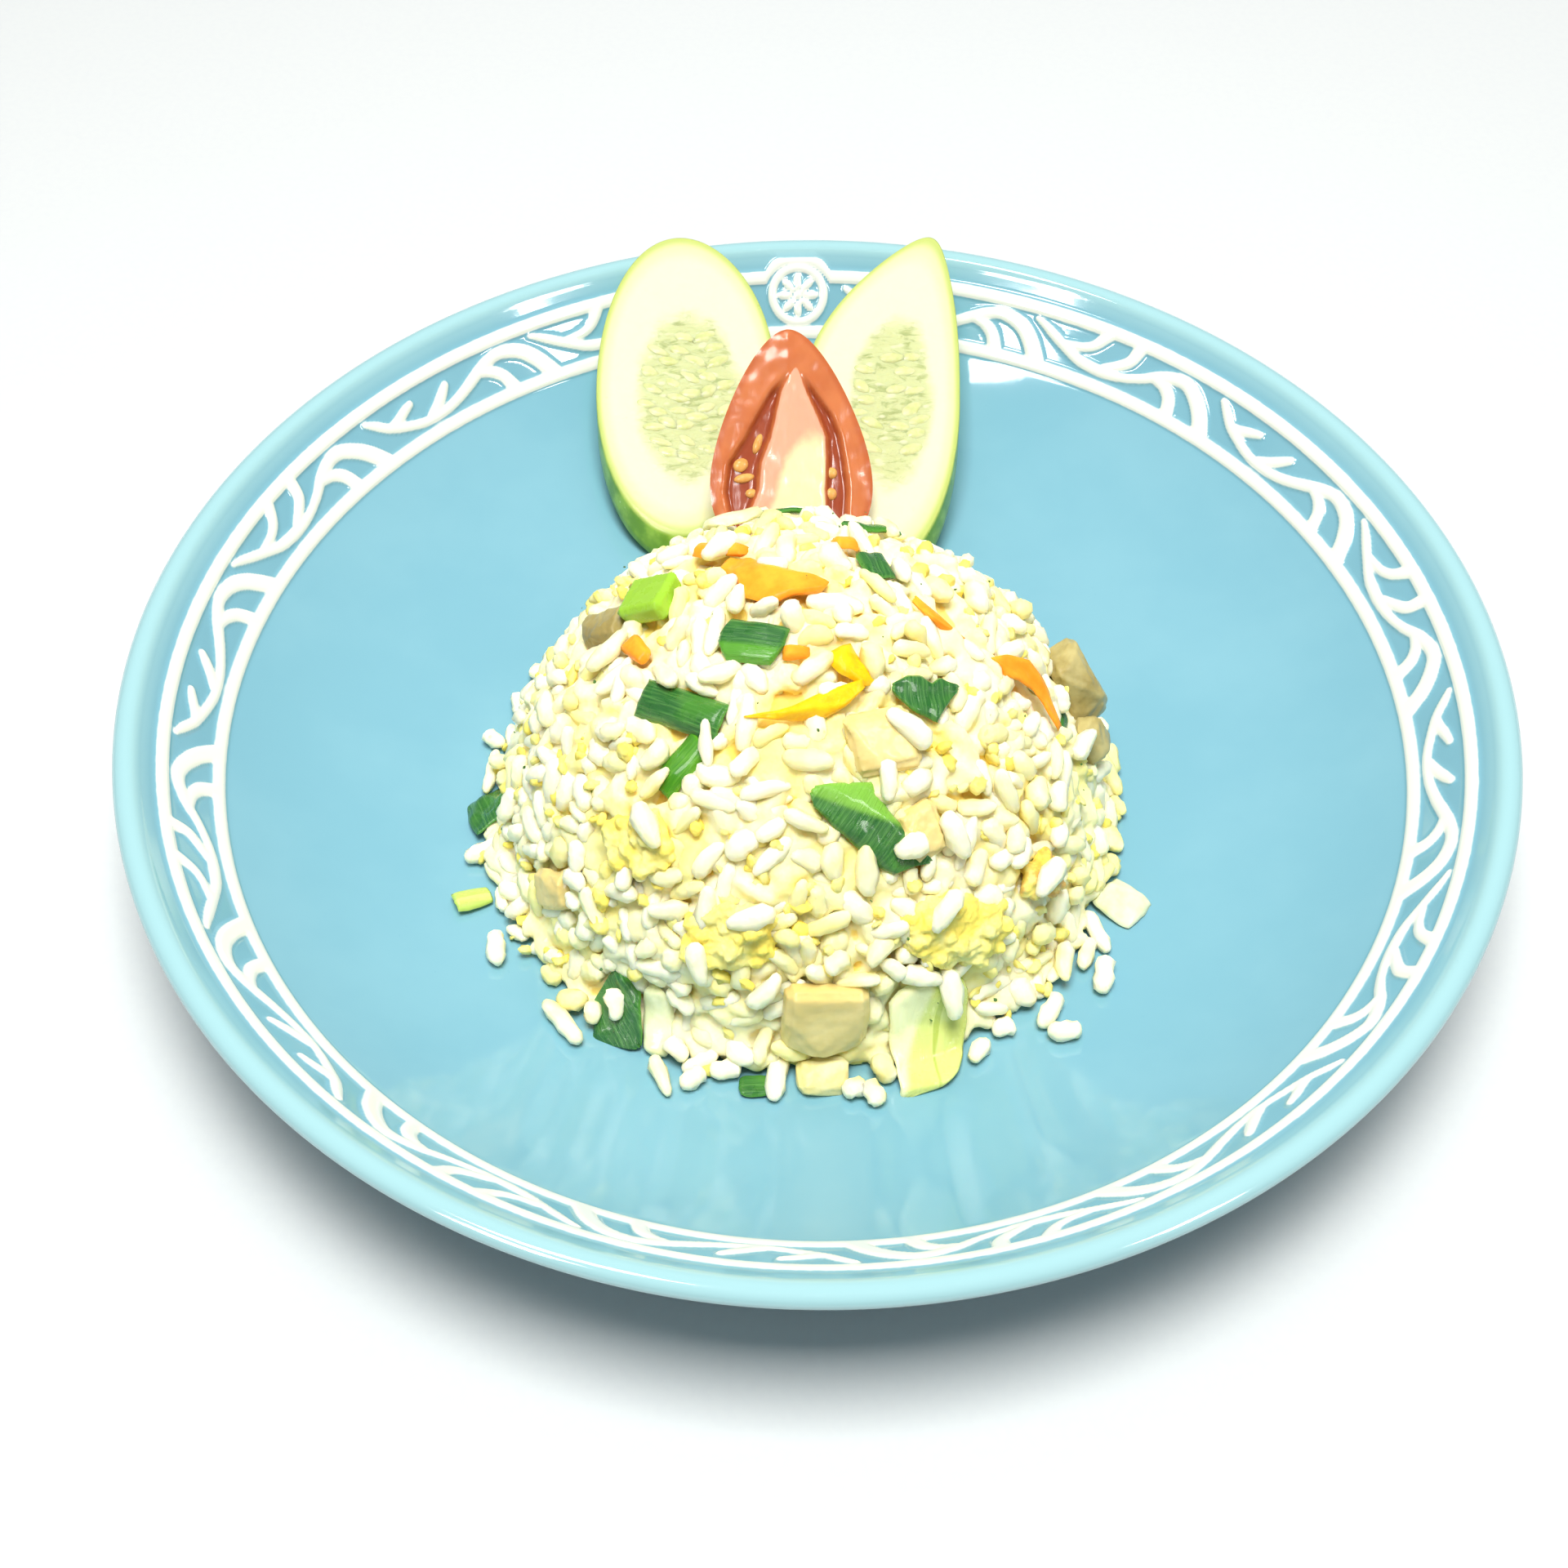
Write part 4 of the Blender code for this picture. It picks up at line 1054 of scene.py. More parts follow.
class NodeFrame:
    """A solid's own middle, directions and size, and the height of its outer face."""

    def __init__(self, solid: Piece) -> None:
        """Finds the longest and the thinnest direction of the solid."""
        mesh = solid.data
        self.points = np.array([vert.co for vert in mesh.vertices])
        self.centre = Vector((self.points.max(0) + self.points.min(0)) / 2)
        _, _, axes = np.linalg.svd(self.points - self.points.mean(0), full_matrices=False)
        normal, along = Vector(axes[2]), Vector(axes[0])
        outward = self.centre - DOME_MIDDLE + Vector((0, 0, 12 * MM))
        self.normal = normal if normal.dot(outward) > 0 else -normal
        self.along = along if along.x > 0 else -along
        self.across = self.normal.cross(self.along).normalized()
        self.tree = BVHTree.FromPolygons([vert.co for vert in mesh.vertices],
                                         [tuple(face.vertices) for face in mesh.polygons])
        spread = self.points - np.array(self.centre)
        ends = {name: (float((spread @ np.array(axis)).min()), float((spread @ np.array(axis)).max()))
                for name, axis in (("along", self.along), ("across", self.across))}
        self.ends_along, self.ends_across = ends["along"], ends["across"]

    def place(self, x: float, y: float) -> Vector:
        """Point of the outer face at a place in the piece's own plane."""
        foot = self.centre + self.along * x + self.across * y
        hit = self.tree.ray_cast(foot + self.normal * 12 * MM, -self.normal, 30 * MM)[0]
        if hit is None:
            near = self.tree.find_nearest(foot)[0]
            hit = foot + self.normal * (near - foot).dot(self.normal)
        return hit


@dataclass
class Leaf:
    """Thin piece laid where its solid lies, with its own outline, curl and finish."""

    node: str
    finish: Finish
    slot: str
    thickness: float = 0.8 * MM
    corner: float = 0.12
    taper: float = 0.0
    curl: float = 0.0
    wave: float = 0.25 * MM
    lift: float = 0.0
    shrink: float = 0.0
    cells: float = 0.42 * MM
    stations: tuple[Triple, ...] = ()
    # line in the piece's plane past which it takes the paler green: partly younger leaf, partly a painted
    # highlight
    fresh: Triple = (0.0, 0.0, -9.0)

    def outline(self, u: float, v: float) -> Pair:
        """Bends the unit square to the piece's outline; u and v run from -1 to 1."""
        if self.stations:
            first, last = self.stations[0][0], self.stations[-1][0]
            x = first + (last - first) * (u + 1) / 2
            places, lows, highs = zip(*self.stations)
            low, high = float(np.interp(x, places, lows)), float(np.interp(x, places, highs))
            ragged = 0.04 * noise.noise(Vector((x * 3.1, v * 2.1, len(self.node))))
            return x + ragged, low + (high - low) * (v + 1) / 2 + ragged
        narrow = 1 - self.taper * (u + 1) / 2
        x = u * (1 - self.corner * 0.5 * v * v)
        y = v * narrow * (1 - self.corner * u**4)
        ragged = 0.05 * noise.noise(Vector((u * 2.1, v * 2.1, len(self.node))))
        return x + ragged * abs(u), y + ragged * abs(v)

    def build(self, solid: Piece) -> Piece:
        """Drapes a fine grid on the solid's outer face and closes it underneath."""
        frame = NodeFrame(solid)
        long = frame.ends_along[1] - frame.ends_along[0] - self.shrink
        wide = frame.ends_across[1] - frame.ends_across[0] - self.shrink
        mid_x, mid_y = sum(frame.ends_along) / 2, sum(frame.ends_across) / 2
        columns = max(14, round(long / self.cells))
        rows = max(10, round(wide / self.cells))
        top = np.zeros((rows, columns, 3))
        bottom = np.zeros_like(top)
        lay = np.zeros((rows, columns, 3))
        edge = np.zeros((rows, columns))
        fresh = np.zeros((rows, columns))
        heights = np.zeros((rows, columns))
        for i in range(rows):
            for j in range(columns):
                u, v = 2 * j / (columns - 1) - 1, 2 * i / (rows - 1) - 1
                x, y = self.outline(u, v)
                lay[i, j] = (x * long / 2, y * wide / 2, 0)
                spot = frame.place(mid_x + lay[i, j, 0], mid_y + lay[i, j, 1])
                heights[i, j] = (spot - frame.centre).dot(frame.normal)
                edge[i, j] = min((1 - abs(u)) * long, (1 - abs(v)) * wide) / 2
                fresh[i, j] = smoothstep(self.fresh[0] * x + self.fresh[1] * y + self.fresh[2], -0.12, 0.12)
        heights = self.eased(heights)
        for i in range(rows):
            for j in range(columns):
                x, y = lay[i, j, 0], lay[i, j, 1]
                u, v = 2 * x / long, 2 * y / wide
                rise = self.wave * noise.noise(Vector((x * 300, y * 300, len(self.node) * 1.7)))
                rise += self.curl * v * v + self.lift
                rim = math.sqrt(min(edge[i, j] / (self.thickness * 0.5), 1.0))
                base = frame.centre + frame.along * (mid_x + x) + frame.across * (mid_y + y)
                half = self.thickness / 2
                level = heights[i, j] + rise - half
                top[i, j] = base + frame.normal * (level + half * rim)
                bottom[i, j] = base + frame.normal * (level - half * rim - 0.01 * MM)
        points, faces = closed_sheet(top, bottom)
        mesh = mesh_of(self.node + "_piece", points, faces)
        carry(mesh, "lay", np.concatenate([lay.reshape(-1, 3)] * 2))
        carry(mesh, "edge", np.concatenate([edge.ravel()] * 2))
        carry(mesh, "fresh", np.concatenate([fresh.ravel()] * 2))
        outward_faces(mesh)
        return settle(new_object(self.node + "_piece", mesh, self.finish), self.slot, self.node)

    def eased(self, heights: np.ndarray) -> np.ndarray:
        """Smooths away the facets of the solid's face."""
        for _ in range(6):
            padded = np.pad(heights, 1, mode="edge")
            heights = (padded[:-2, 1:-1] + padded[2:, 1:-1] + padded[1:-1, :-2] + padded[1:-1, 2:]
                       + 4 * padded[1:-1, 1:-1]) / 8
        return heights


def outward_faces(mesh: bpy.types.Mesh) -> None:
    """Turns all the faces of a closed mesh outwards."""
    shape = bmesh.new()
    shape.from_mesh(mesh)
    bmesh.ops.recalc_face_normals(shape, faces=shape.faces)
    shape.to_mesh(mesh)
    shape.free()


@dataclass
class Lump:
    """Thick piece where its solid is: fused with curds if it is egg, eased, then roughened."""

    node: str
    finish: Finish
    slot: str
    rough: float = 0.25 * MM
    pitch: float = 2.2 * MM
    curds: int = 0
    curd_size: Pair = (0.7 * MM, 1.4 * MM)
    voxel: float = 0.34 * MM
    ease: int = 3

    def form(self, solid: Piece) -> bmesh.types.BMesh:
        """The solid's own shape, with ragged curds stuck to it."""
        shape = bmesh.new()
        shape.from_mesh(solid.data)
        bmesh.ops.remove_doubles(shape, verts=shape.verts, dist=1e-6)
        draw = random.Random(len(self.node) * 7 + self.curds)
        faces = [face.calc_center_median() - face.normal * 0.5 * MM for face in shape.faces]
        for _ in range(self.curds):
            size = draw.uniform(*self.curd_size)
            curd = bmesh.ops.create_icosphere(shape, subdivisions=2, radius=size)["verts"]
            face = draw.choice(faces)
            spot = face + Vector([draw.gauss(0, spread) for spread in (0.6, 0.6, 0.4)]) * MM
            long = draw.uniform(1.0, 1.7)
            turn = Matrix.Rotation(draw.uniform(0, math.pi), 3, "Z")
            turn = turn @ Matrix.Rotation(draw.gauss(0, 0.6), 3, "X")
            for vert in curd:
                ruffle = 1 + 0.5 * noise.noise(vert.co * 600 + spot * 900)
                vert.co = spot + turn @ Vector((vert.co.x * long, vert.co.y, vert.co.z)) * ruffle
        return shape

    def build(self, solid: Piece) -> Piece:
        """Fuses the form into one skin, eases it and roughens it along its normals."""
        name = self.node + "_piece"
        piece = new_object(name, mesh_from(self.form(solid), name), self.finish)
        fuse(piece, self.voxel, self.ease)
        roughen(piece.data, self.rough, self.pitch)
        finish_mesh(piece.data, self.finish)
        return settle(piece, self.slot, self.node)


@dataclass
class Block(Lump):
    """Cut piece with flat faces and crisp edges, a little larger than its solid where grains lap over it."""

    grow: Triple = (1.0, 1.0, 1.0)
    shift: Triple = (0.0, 0.0, 0.0)
    skew: float = 0.12
    bevel: float = 0.6 * MM
    cuts: int = 2

    def form(self, solid: Piece) -> bmesh.types.BMesh:
        """An uneven box in the solid's own directions with a few corners cut away."""
        frame = NodeFrame(solid)
        spread = (frame.points - np.array(frame.centre)) @ np.array(frame.normal)
        ends = (frame.ends_along, frame.ends_across, (float(spread.min()), float(spread.max())))
        size = Vector([high - low for low, high in ends])
        middle = Vector([low + high for low, high in ends]) / 2
        draw = random.Random(len(self.node) * 31 + self.cuts)
        shape = bmesh.new()
        bmesh.ops.create_cube(shape, size=1)
        for vert in shape.verts:
            vert.co = Vector([value * (1 + draw.uniform(-self.skew, self.skew)) for value in vert.co])
        for _ in range(self.cuts):
            sideways = [draw.choice((-1, 1)) * draw.uniform(0.4, 1) for _ in range(2)]
            way = Vector((*sideways, draw.uniform(0.2, 0.9))).normalized()
            parts = [*shape.verts, *shape.edges, *shape.faces]
            cut = bmesh.ops.bisect_plane(shape, geom=parts, plane_co=way * 0.52, plane_no=way,
                                         clear_outer=True)
            rim = [edge for edge in cut["geom_cut"] if isinstance(edge, bmesh.types.BMEdge)]
            bmesh.ops.contextual_create(shape, geom=rim)
        turn = Matrix((frame.along, frame.across, frame.normal)).transposed()
        for vert in shape.verts:
            spot = Vector([vert.co[k] * size[k] * self.grow[k] + middle[k] + self.shift[k]
                           for k in range(3)])
            vert.co = frame.centre + turn @ spot
        bmesh.ops.recalc_face_normals(shape, faces=shape.faces)
        bmesh.ops.bevel(shape, geom=shape.edges, offset=self.bevel, segments=2, affect="EDGES")
        return shape


def fuse(piece: Piece, voxel: float, ease: int) -> None:
    """Makes one even skin of everything in a piece's mesh, then eases it."""
    remesh = piece.modifiers.new("fused", "REMESH")
    remesh.mode = "VOXEL"
    remesh.voxel_size = voxel
    if ease:
        smooth = piece.modifiers.new("eased", "SMOOTH")
        smooth.factor, smooth.iterations = 0.5, ease
    bake_modifiers(piece)


def bake_modifiers(piece: Piece) -> None:
    """Turns what the modifiers make into the piece's plain mesh."""
    graph = bpy.context.evaluated_depsgraph_get()
    graph.update()
    mesh = bpy.data.meshes.new_from_object(piece.evaluated_get(graph))
    piece.modifiers.clear()
    piece.data = mesh


def roughen(mesh: bpy.types.Mesh, amount: float, pitch: float) -> None:
    """Moves the points along their normals by noise of two sizes.

    Args:
        mesh: the mesh to change.
        amount: how far a point may move.
        pitch: size of the coarser bumps.
    """
    normals = [vert.normal.copy() for vert in mesh.vertices]
    for vert, normal in zip(mesh.vertices, normals):
        coarse = noise.noise(vert.co / pitch)
        fine = noise.noise(vert.co / pitch * 3.3 + Vector((7, 3, 1)))
        vert.co += normal * amount * (coarse + 0.45 * fine)


# ---------------------------------------------------------------- rice


@dataclass
class Grain:
    """One laid grain: its middle, direction, size and tone."""

    middle: Vector
    along: Vector
    length: float
    width: float
    tone: float
    kind: int


@dataclass(frozen=True)
class Layer:
    """How the grains of one layer are tried: how many, how high, how tilted and how close."""

    tries: int
    rise: float
    spread: float
    tilt: float
    pack: float
    keep: float
    drop: float


class BallGrid:
    """Finds the balls that stand for laid grains near a place."""

    def __init__(self, cell: float = 4 * MM) -> None:
        """Starts an empty grid."""
        self.cell = cell
        self.cells: dict[tuple[int, int, int], list[tuple[float, float, float, float]]] = defaultdict(list)

    @staticmethod
    def balls(grain: Grain) -> list[tuple[float, float, float, float]]:
        """Balls along a grain: their places and radius."""
        radius = grain.width / 2
        reach = max(grain.length / 2 - radius, 0)
        spots = [grain.middle + grain.along * reach * share for share in (-1, -0.33, 0.33, 1)]
        return [(spot.x, spot.y, spot.z, radius) for spot in spots]

    def key(self, x: float, y: float, z: float) -> tuple[int, int, int]:
        """Cell of a place."""
        return (math.floor(x / self.cell), math.floor(y / self.cell), math.floor(z / self.cell))

    def fits(self, grain: Grain, share: float) -> bool:
        """Whether a grain keeps its distance from every laid one.

        Args:
            grain: the grain to try.
            share: how much of full clearance it needs.

        Returns:
            False if one of its balls comes too close to another.
        """
        for x, y, z, radius in self.balls(grain):
            i, j, k = self.key(x, y, z)
            for a in (i - 1, i, i + 1):
                for b in (j - 1, j, j + 1):
                    for c in (k - 1, k, k + 1):
                        for ox, oy, oz, other in self.cells.get((a, b, c), ()):
                            reach = (radius + other) * share
                            if (x - ox) ** 2 + (y - oy) ** 2 + (z - oz) ** 2 < reach * reach:
                                return False
        return True

    def add(self, grain: Grain) -> None:
        """Keeps a grain's balls."""
        for ball in self.balls(grain):
            self.cells[self.key(*ball[:3])].append(ball)


@dataclass
class RiceDome:
    """The rice: an uneven bed and loose grains on it, packed round the toppings."""

    plate: Plate
    middle: Vector = field(default_factory=lambda: DOME_MIDDLE.copy())
    height: float = 55 * MM
    radius: float = 50.5 * MM
    power: float = 0.62
    cover: float = 2.2 * MM
    skirt_width: float = 4.5 * MM
    skirt_height: float = 3.5 * MM
    length: Triple = (3.9 * MM, 10.0 * MM, 8.2 * MM)
    width: Pair = (2.5 * MM, 4.0 * MM)
    seed: int = 12
    kinds: int = 8
    under_tries: int = 9000
    top_tries: int = 5200
    spill_tries: int = 700
    crumbs: int = 420
    voxel: float = 0.73 * MM
    packed: list[Grain] = field(default_factory=list)
    grains: list[Grain] = field(default_factory=list)
    grid: BallGrid = field(default_factory=BallGrid)

    def reach(self, level: float) -> float:
        """Radius of the bare core at a height over the plate's floor."""
        share = min(max(level / (self.height - self.cover), 0), 1)
        body = (self.radius - self.cover) * (1 - share * share) ** self.power
        return body + self.skirt_width * math.exp(-((level / self.skirt_height) ** 2))

    def section(self) -> tuple[np.ndarray, np.ndarray, np.ndarray]:
        """Radii and heights down the core, and the share of its area above each."""
        share = np.sin(np.linspace(math.pi / 2, 0, 400))
        levels = share * (self.height - self.cover)
        radii = np.array([self.reach(level) for level in levels])
        radii[0] = 0
        run = np.hypot(np.diff(radii), np.diff(levels)) * (radii[1:] + radii[:-1]) / 2
        area = np.concatenate([[0], np.cumsum(run)])
        return radii, levels, area / area[-1]

    def core_depth(self, spot: Vector) -> float:
        """How far a place lies under the core's surface, about; negative outside."""
        flat = math.hypot(spot.x - self.middle.x, spot.y - self.middle.y)
        level = spot.z - self.middle.z
        best = 1.0
        for shift in (-4, -2, 0, 2, 4):
            there = min(max(level + shift * MM, 0), self.height - self.cover)
            best = min(best, math.hypot(flat - self.reach(there), level - there))
        inside = level < self.height - self.cover and flat < self.reach(max(level, 0))
        return best if inside else -best

    def bed(self) -> bmesh.types.BMesh:
        """The closed bed under the grains, as uneven as pressed rice."""
        radii, levels, _ = self.section()
        rows, steps = 70, 180
        pick = np.linspace(0, len(radii) - 1, rows).astype(int)
        shape = bmesh.new()
        top = shape.verts.new(self.middle + Vector((0, 0, self.height - self.cover - 0.8 * MM)))
        rings = []
        for number in pick[1:]:
            ring = []
            for step in range(steps):
                turn = math.tau * step / steps
                side = Vector((math.cos(turn), math.sin(turn), 0))
                spot = self.middle + side * radii[number] + Vector((0, 0, levels[number]))
                bump = 0.8 * MM * noise.noise(spot * 300) + 0.5 * MM * noise.noise(spot * 700)
                inward = (spot - self.middle - Vector((0, 0, 18 * MM))).normalized()
                spot -= inward * (1.5 * MM + bump)
                spot.z = max(spot.z, self.middle.z + 0.7 * MM)
                ring.append(shape.verts.new(spot))
            rings.append(ring)
        for step in range(steps):
            shape.faces.new((top, rings[0][step], rings[0][(step + 1) % steps]))
        for upper, lower in zip(rings, rings[1:]):
            for step in range(steps):
                after = (step + 1) % steps
                shape.faces.new((upper[step], lower[step], lower[after], upper[after]))
        shape.faces.new(list(reversed(rings[-1])))
        return shape

    def build_packed(self) -> Piece:
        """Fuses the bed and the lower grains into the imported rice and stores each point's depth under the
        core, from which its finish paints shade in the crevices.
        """
        shape = self.bed()
        forms = [self.grain_form(kind, 7) for kind in range(self.kinds)]
        for grain in self.packed:
            turn = Vector((0, 0, 1)).rotation_difference(grain.along).to_matrix().to_4x4()
            size = Matrix.Diagonal((grain.width, grain.width * 0.92, grain.length, 1))
            start = len(shape.verts)
            shape.from_mesh(forms[grain.kind].data)
            shape.verts.ensure_lookup_table()
            bmesh.ops.transform(shape, matrix=Matrix.Translation(grain.middle) @ turn @ size,
                                verts=shape.verts[start:])
        for form in forms:
            bpy.data.objects.remove(form)
        mesh = mesh_from(shape, "rice_packed")
        outward_faces(mesh)
        piece = new_object("rice_packed", mesh, PACKED)
        fuse(piece, self.voxel, 1)
        roughen(piece.data, 0.14 * MM, 1.1 * MM)
        # depth under the core, from which the packed finish paints shade in the crevices
        carry(piece.data, "deep", [self.core_depth(vert.co) / MM + 0.1 for vert in piece.data.vertices])
        finish_mesh(piece.data, PACKED)
        return settle(piece, "rice", "rice_heap")

    def clear_of(self, grain: Grain, toppings: BVHTree, share: float) -> bool:
        """Whether a grain stays off the toppings and above the plate."""
        for x, y, z, radius in BallGrid.balls(grain):
            if z - radius * 0.95 < self.plate.surface(math.hypot(x, y)):
                return False
            spot = Vector((x, y, z))
            near, facing, _, away = toppings.find_nearest(spot)
            if near is None or away > 6 * MM:
                continue
            if away < radius * share or ((spot - near).dot(facing) < 0 and away < 2.5 * MM):
                return False
        return True

    def offer(self, draw: random.Random, spot: Vector, normal: Vector, layer: Layer, toppings: BVHTree,
              grid: BallGrid) -> Grain | None:
        """Turns and lowers a grain at a place until it fits there.

        Args:
            draw: source of its turns and sizes.
            spot: where its middle goes.
            normal: the way out of the dome there.
            layer: how tilted, close and low it may lie.
            toppings: pieces that it keeps off.
            grid: the grains laid so far, to which it is added.

        Returns:
            The laid grain, or None where none fits.
        """
        side = normal.orthogonal().normalized()
        for shorter, drop in ((1, 0), (0.92, 0), (0.84, 0), (0.72, 0), (0.85, 0.9), (0.75, 1.7)):
            along = Matrix.Rotation(draw.uniform(0, math.pi), 3, normal) @ side
            along = (along + normal * draw.gauss(0, layer.tilt)).normalized()
            grain = Grain(spot - normal * drop * layer.drop, along, draw.triangular(*self.length) * shorter,
                          draw.uniform(*self.width), draw.random(), draw.randrange(self.kinds))
            if grid.fits(grain, layer.pack) and self.clear_of(grain, toppings, layer.keep):
                grid.add(grain)
                return grain
        return None

    @staticmethod
    def under_piece(spot: Vector, normal: Vector, pieces: BVHTree) -> bool:
        """Whether one of the pieces lies under or over a place."""
        return pieces.ray_cast(spot + normal * 4 * MM, -normal, 7 * MM)[0] is not None

    def pack(self, toppings: BVHTree, eggs: BVHTree) -> None:
        """Lays the lower grains, the upper grains and those round the dome's foot.

        Args:
            toppings: pieces that the grains keep off.
            eggs: curds, on which few of the upper grains lie.
        """
        draw = random.Random(self.seed)
        radii, levels, area = self.section()
        lower_grid = BallGrid()
        lower = Layer(self.under_tries, 0.05 * MM, 0.5 * MM, 0.22, 0.62, 0.7, MM)
        upper = Layer(self.top_tries, 1.15 * MM, 0.6 * MM, 0.28, 0.74, 0.62, 0.5 * MM)
        for layer, grid, kept in ((lower, lower_grid, self.packed), (upper, self.grid, self.grains)):
            for _ in range(layer.tries):
                share = draw.random()
                level = float(np.interp(share, area, levels))
                radius = float(np.interp(share, area, radii))
                ahead = min(share + 0.01, 1)
                slope = Vector((float(np.interp(ahead, area, radii)) - radius,
                                float(np.interp(ahead, area, levels)) - level))
                turn = draw.uniform(0, math.tau)
                side = Vector((math.cos(turn), math.sin(turn), 0))
                if slope.length < 1e-9:
                    slope = Vector((0, -1))
                slope.normalize()
                normal = (side * -slope.y + Vector((0, 0, slope.x))).normalized()
                spot = self.middle + side * radius + Vector((0, 0, level))
                uneven = 0.5 * MM * noise.noise(spot * 120)
                spot += normal * (layer.rise + draw.gauss(0, layer.spread) + uneven)
                spot.z = max(spot.z, self.plate.surface(spot.xy.length) + 1.7 * MM)
                shown = kept is self.grains
                on_egg = shown and self.under_piece(spot, normal, eggs) and draw.random() < 0.75
                bare = on_egg or (shown and noise.noise(spot * 80 + Vector((3, 8, 1))) > 0.3)
                grain = None if bare else self.offer(draw, spot, normal, layer, toppings, grid)
                if grain:
                    kept.append(grain)
        loose = Layer(self.spill_tries, 0, 0, 0.05, 0.86, 0.95, 0)
        for _ in range(loose.tries):
            turn = draw.uniform(0, math.tau)
            side = Vector((math.cos(turn), math.sin(turn), 0))
            ragged = 3.2 * MM * noise.noise(side * 4.1 + Vector((4, 0, 0)))
            spot = self.middle + side * (self.reach(0) + draw.triangular(-1.5, 3.4, -0.5) * MM + ragged)
            spot.z = self.plate.surface(spot.xy.length) + 1.7 * MM
            grain = self.offer(draw, spot, Vector((0, 0, 1)), loose, toppings, self.grid)
            if grain:
                self.grains.append(grain)
        LOG.info("%d grains packed, %d loose", len(self.packed), len(self.grains))

    def top(self, frame: NodeFrame, u: float, v: float, bearing: float, length: float, width: float) -> None:
        """Lays one grain on a topping, at a share of its half length and half width."""
        spot = frame.place(u * frame.ends_along[1], v * frame.ends_across[1])
        turn = Matrix.Rotation(math.radians(bearing), 3, frame.normal)
        spot += frame.normal * (width * 0.42 + 0.5 * MM)
        grain = Grain(spot, turn @ frame.along, length, width, 0.1, 1)
        self.grid.add(grain)
        self.grains.append(grain)

    def lay(self, x: float, y: float, bearing: float, length: float) -> None:
        """Lays one loose grain flat on the plate.

        Args:
            x: its place to the right, in millimetres.
            y: its place to the back, in millimetres.
            bearing: its direction in degrees from +X.
            length: its length.
        """
        turn = math.radians(bearing)
        spot = Vector((x * MM, y * MM, 0))
        spot.z = self.plate.surface(spot.xy.length) + SPILLED_WIDTH * 0.52
        grain = Grain(spot, Vector((math.cos(turn), math.sin(turn), 0)), length, SPILLED_WIDTH, 0.1, 0)
        self.grid.add(grain)
        self.grains.append(grain)

    @staticmethod
    def grain_form(kind: int, steps: int = 8) -> Piece:
        """Unit grain of one kind, long in Z, with blunt uneven ends and a slight bend."""
        draw = random.Random(100 + kind)
        shape = bmesh.new()
        bmesh.ops.create_uvsphere(shape, u_segments=steps, v_segments=steps + 1, radius=0.5)
        bend, blunt, flat = draw.uniform(-0.08, 0.20), draw.uniform(0.32, 0.52), draw.uniform(0.80, 1.0)
        skew, waist = draw.uniform(-0.2, 0.2), draw.uniform(-0.06, 0.02)
        for vert in shape.verts:
            level = vert.co.z * 2
            around = math.hypot(vert.co.x, vert.co.y) * 2
            full = (max(1 - abs(level) ** 2.8, 0)) ** blunt * (1 - waist * math.cos(level * 4))
            grow = full / around if around > 1e-6 else 0
            away = Vector((kind * 7, 2, 5))
            ruffle = 1 + 0.34 * noise.noise(vert.co * 3.4 + away) + 0.20 * noise.noise(vert.co * 8 + away)
            x = vert.co.x * grow * (1 + skew * level) * ruffle
            y = vert.co.y * grow * flat * (1 + skew * level) * ruffle
            vert.co = Vector((x + bend * (level * level - 0.35), y, level / 2 * (1 + 0.05 * x)))
        name = f"grain_form_{kind}"
        return new_object(name, mesh_from(shape, name), RICE)

    def build_grains(self) -> None:
        """Turns the laid grains into one mesh for each kind."""
        for kind in range(self.kinds):
            laid = [grain for grain in self.grains if grain.kind == kind]
            draw = random.Random(300 + kind)
            turns, sizes = [], []
            for grain in laid:
                spin = Matrix.Rotation(draw.uniform(0, math.tau), 3, "Z")
                turn = Vector((0, 0, 1)).rotation_difference(grain.along).to_matrix() @ spin
                turns.append(tuple(turn.to_euler()))
                sizes.append((grain.width, grain.width * draw.uniform(0.86, 1.0), grain.length))
            form = self.grain_form(kind)
            spots, tones = [grain.middle for grain in laid], [grain.tone for grain in laid]
            piece = Scatter(f"rice_grains_{kind}", form, RICE).build(spots, turns, sizes, tones)
            bpy.data.objects.remove(form)
            settle(piece, "rice")


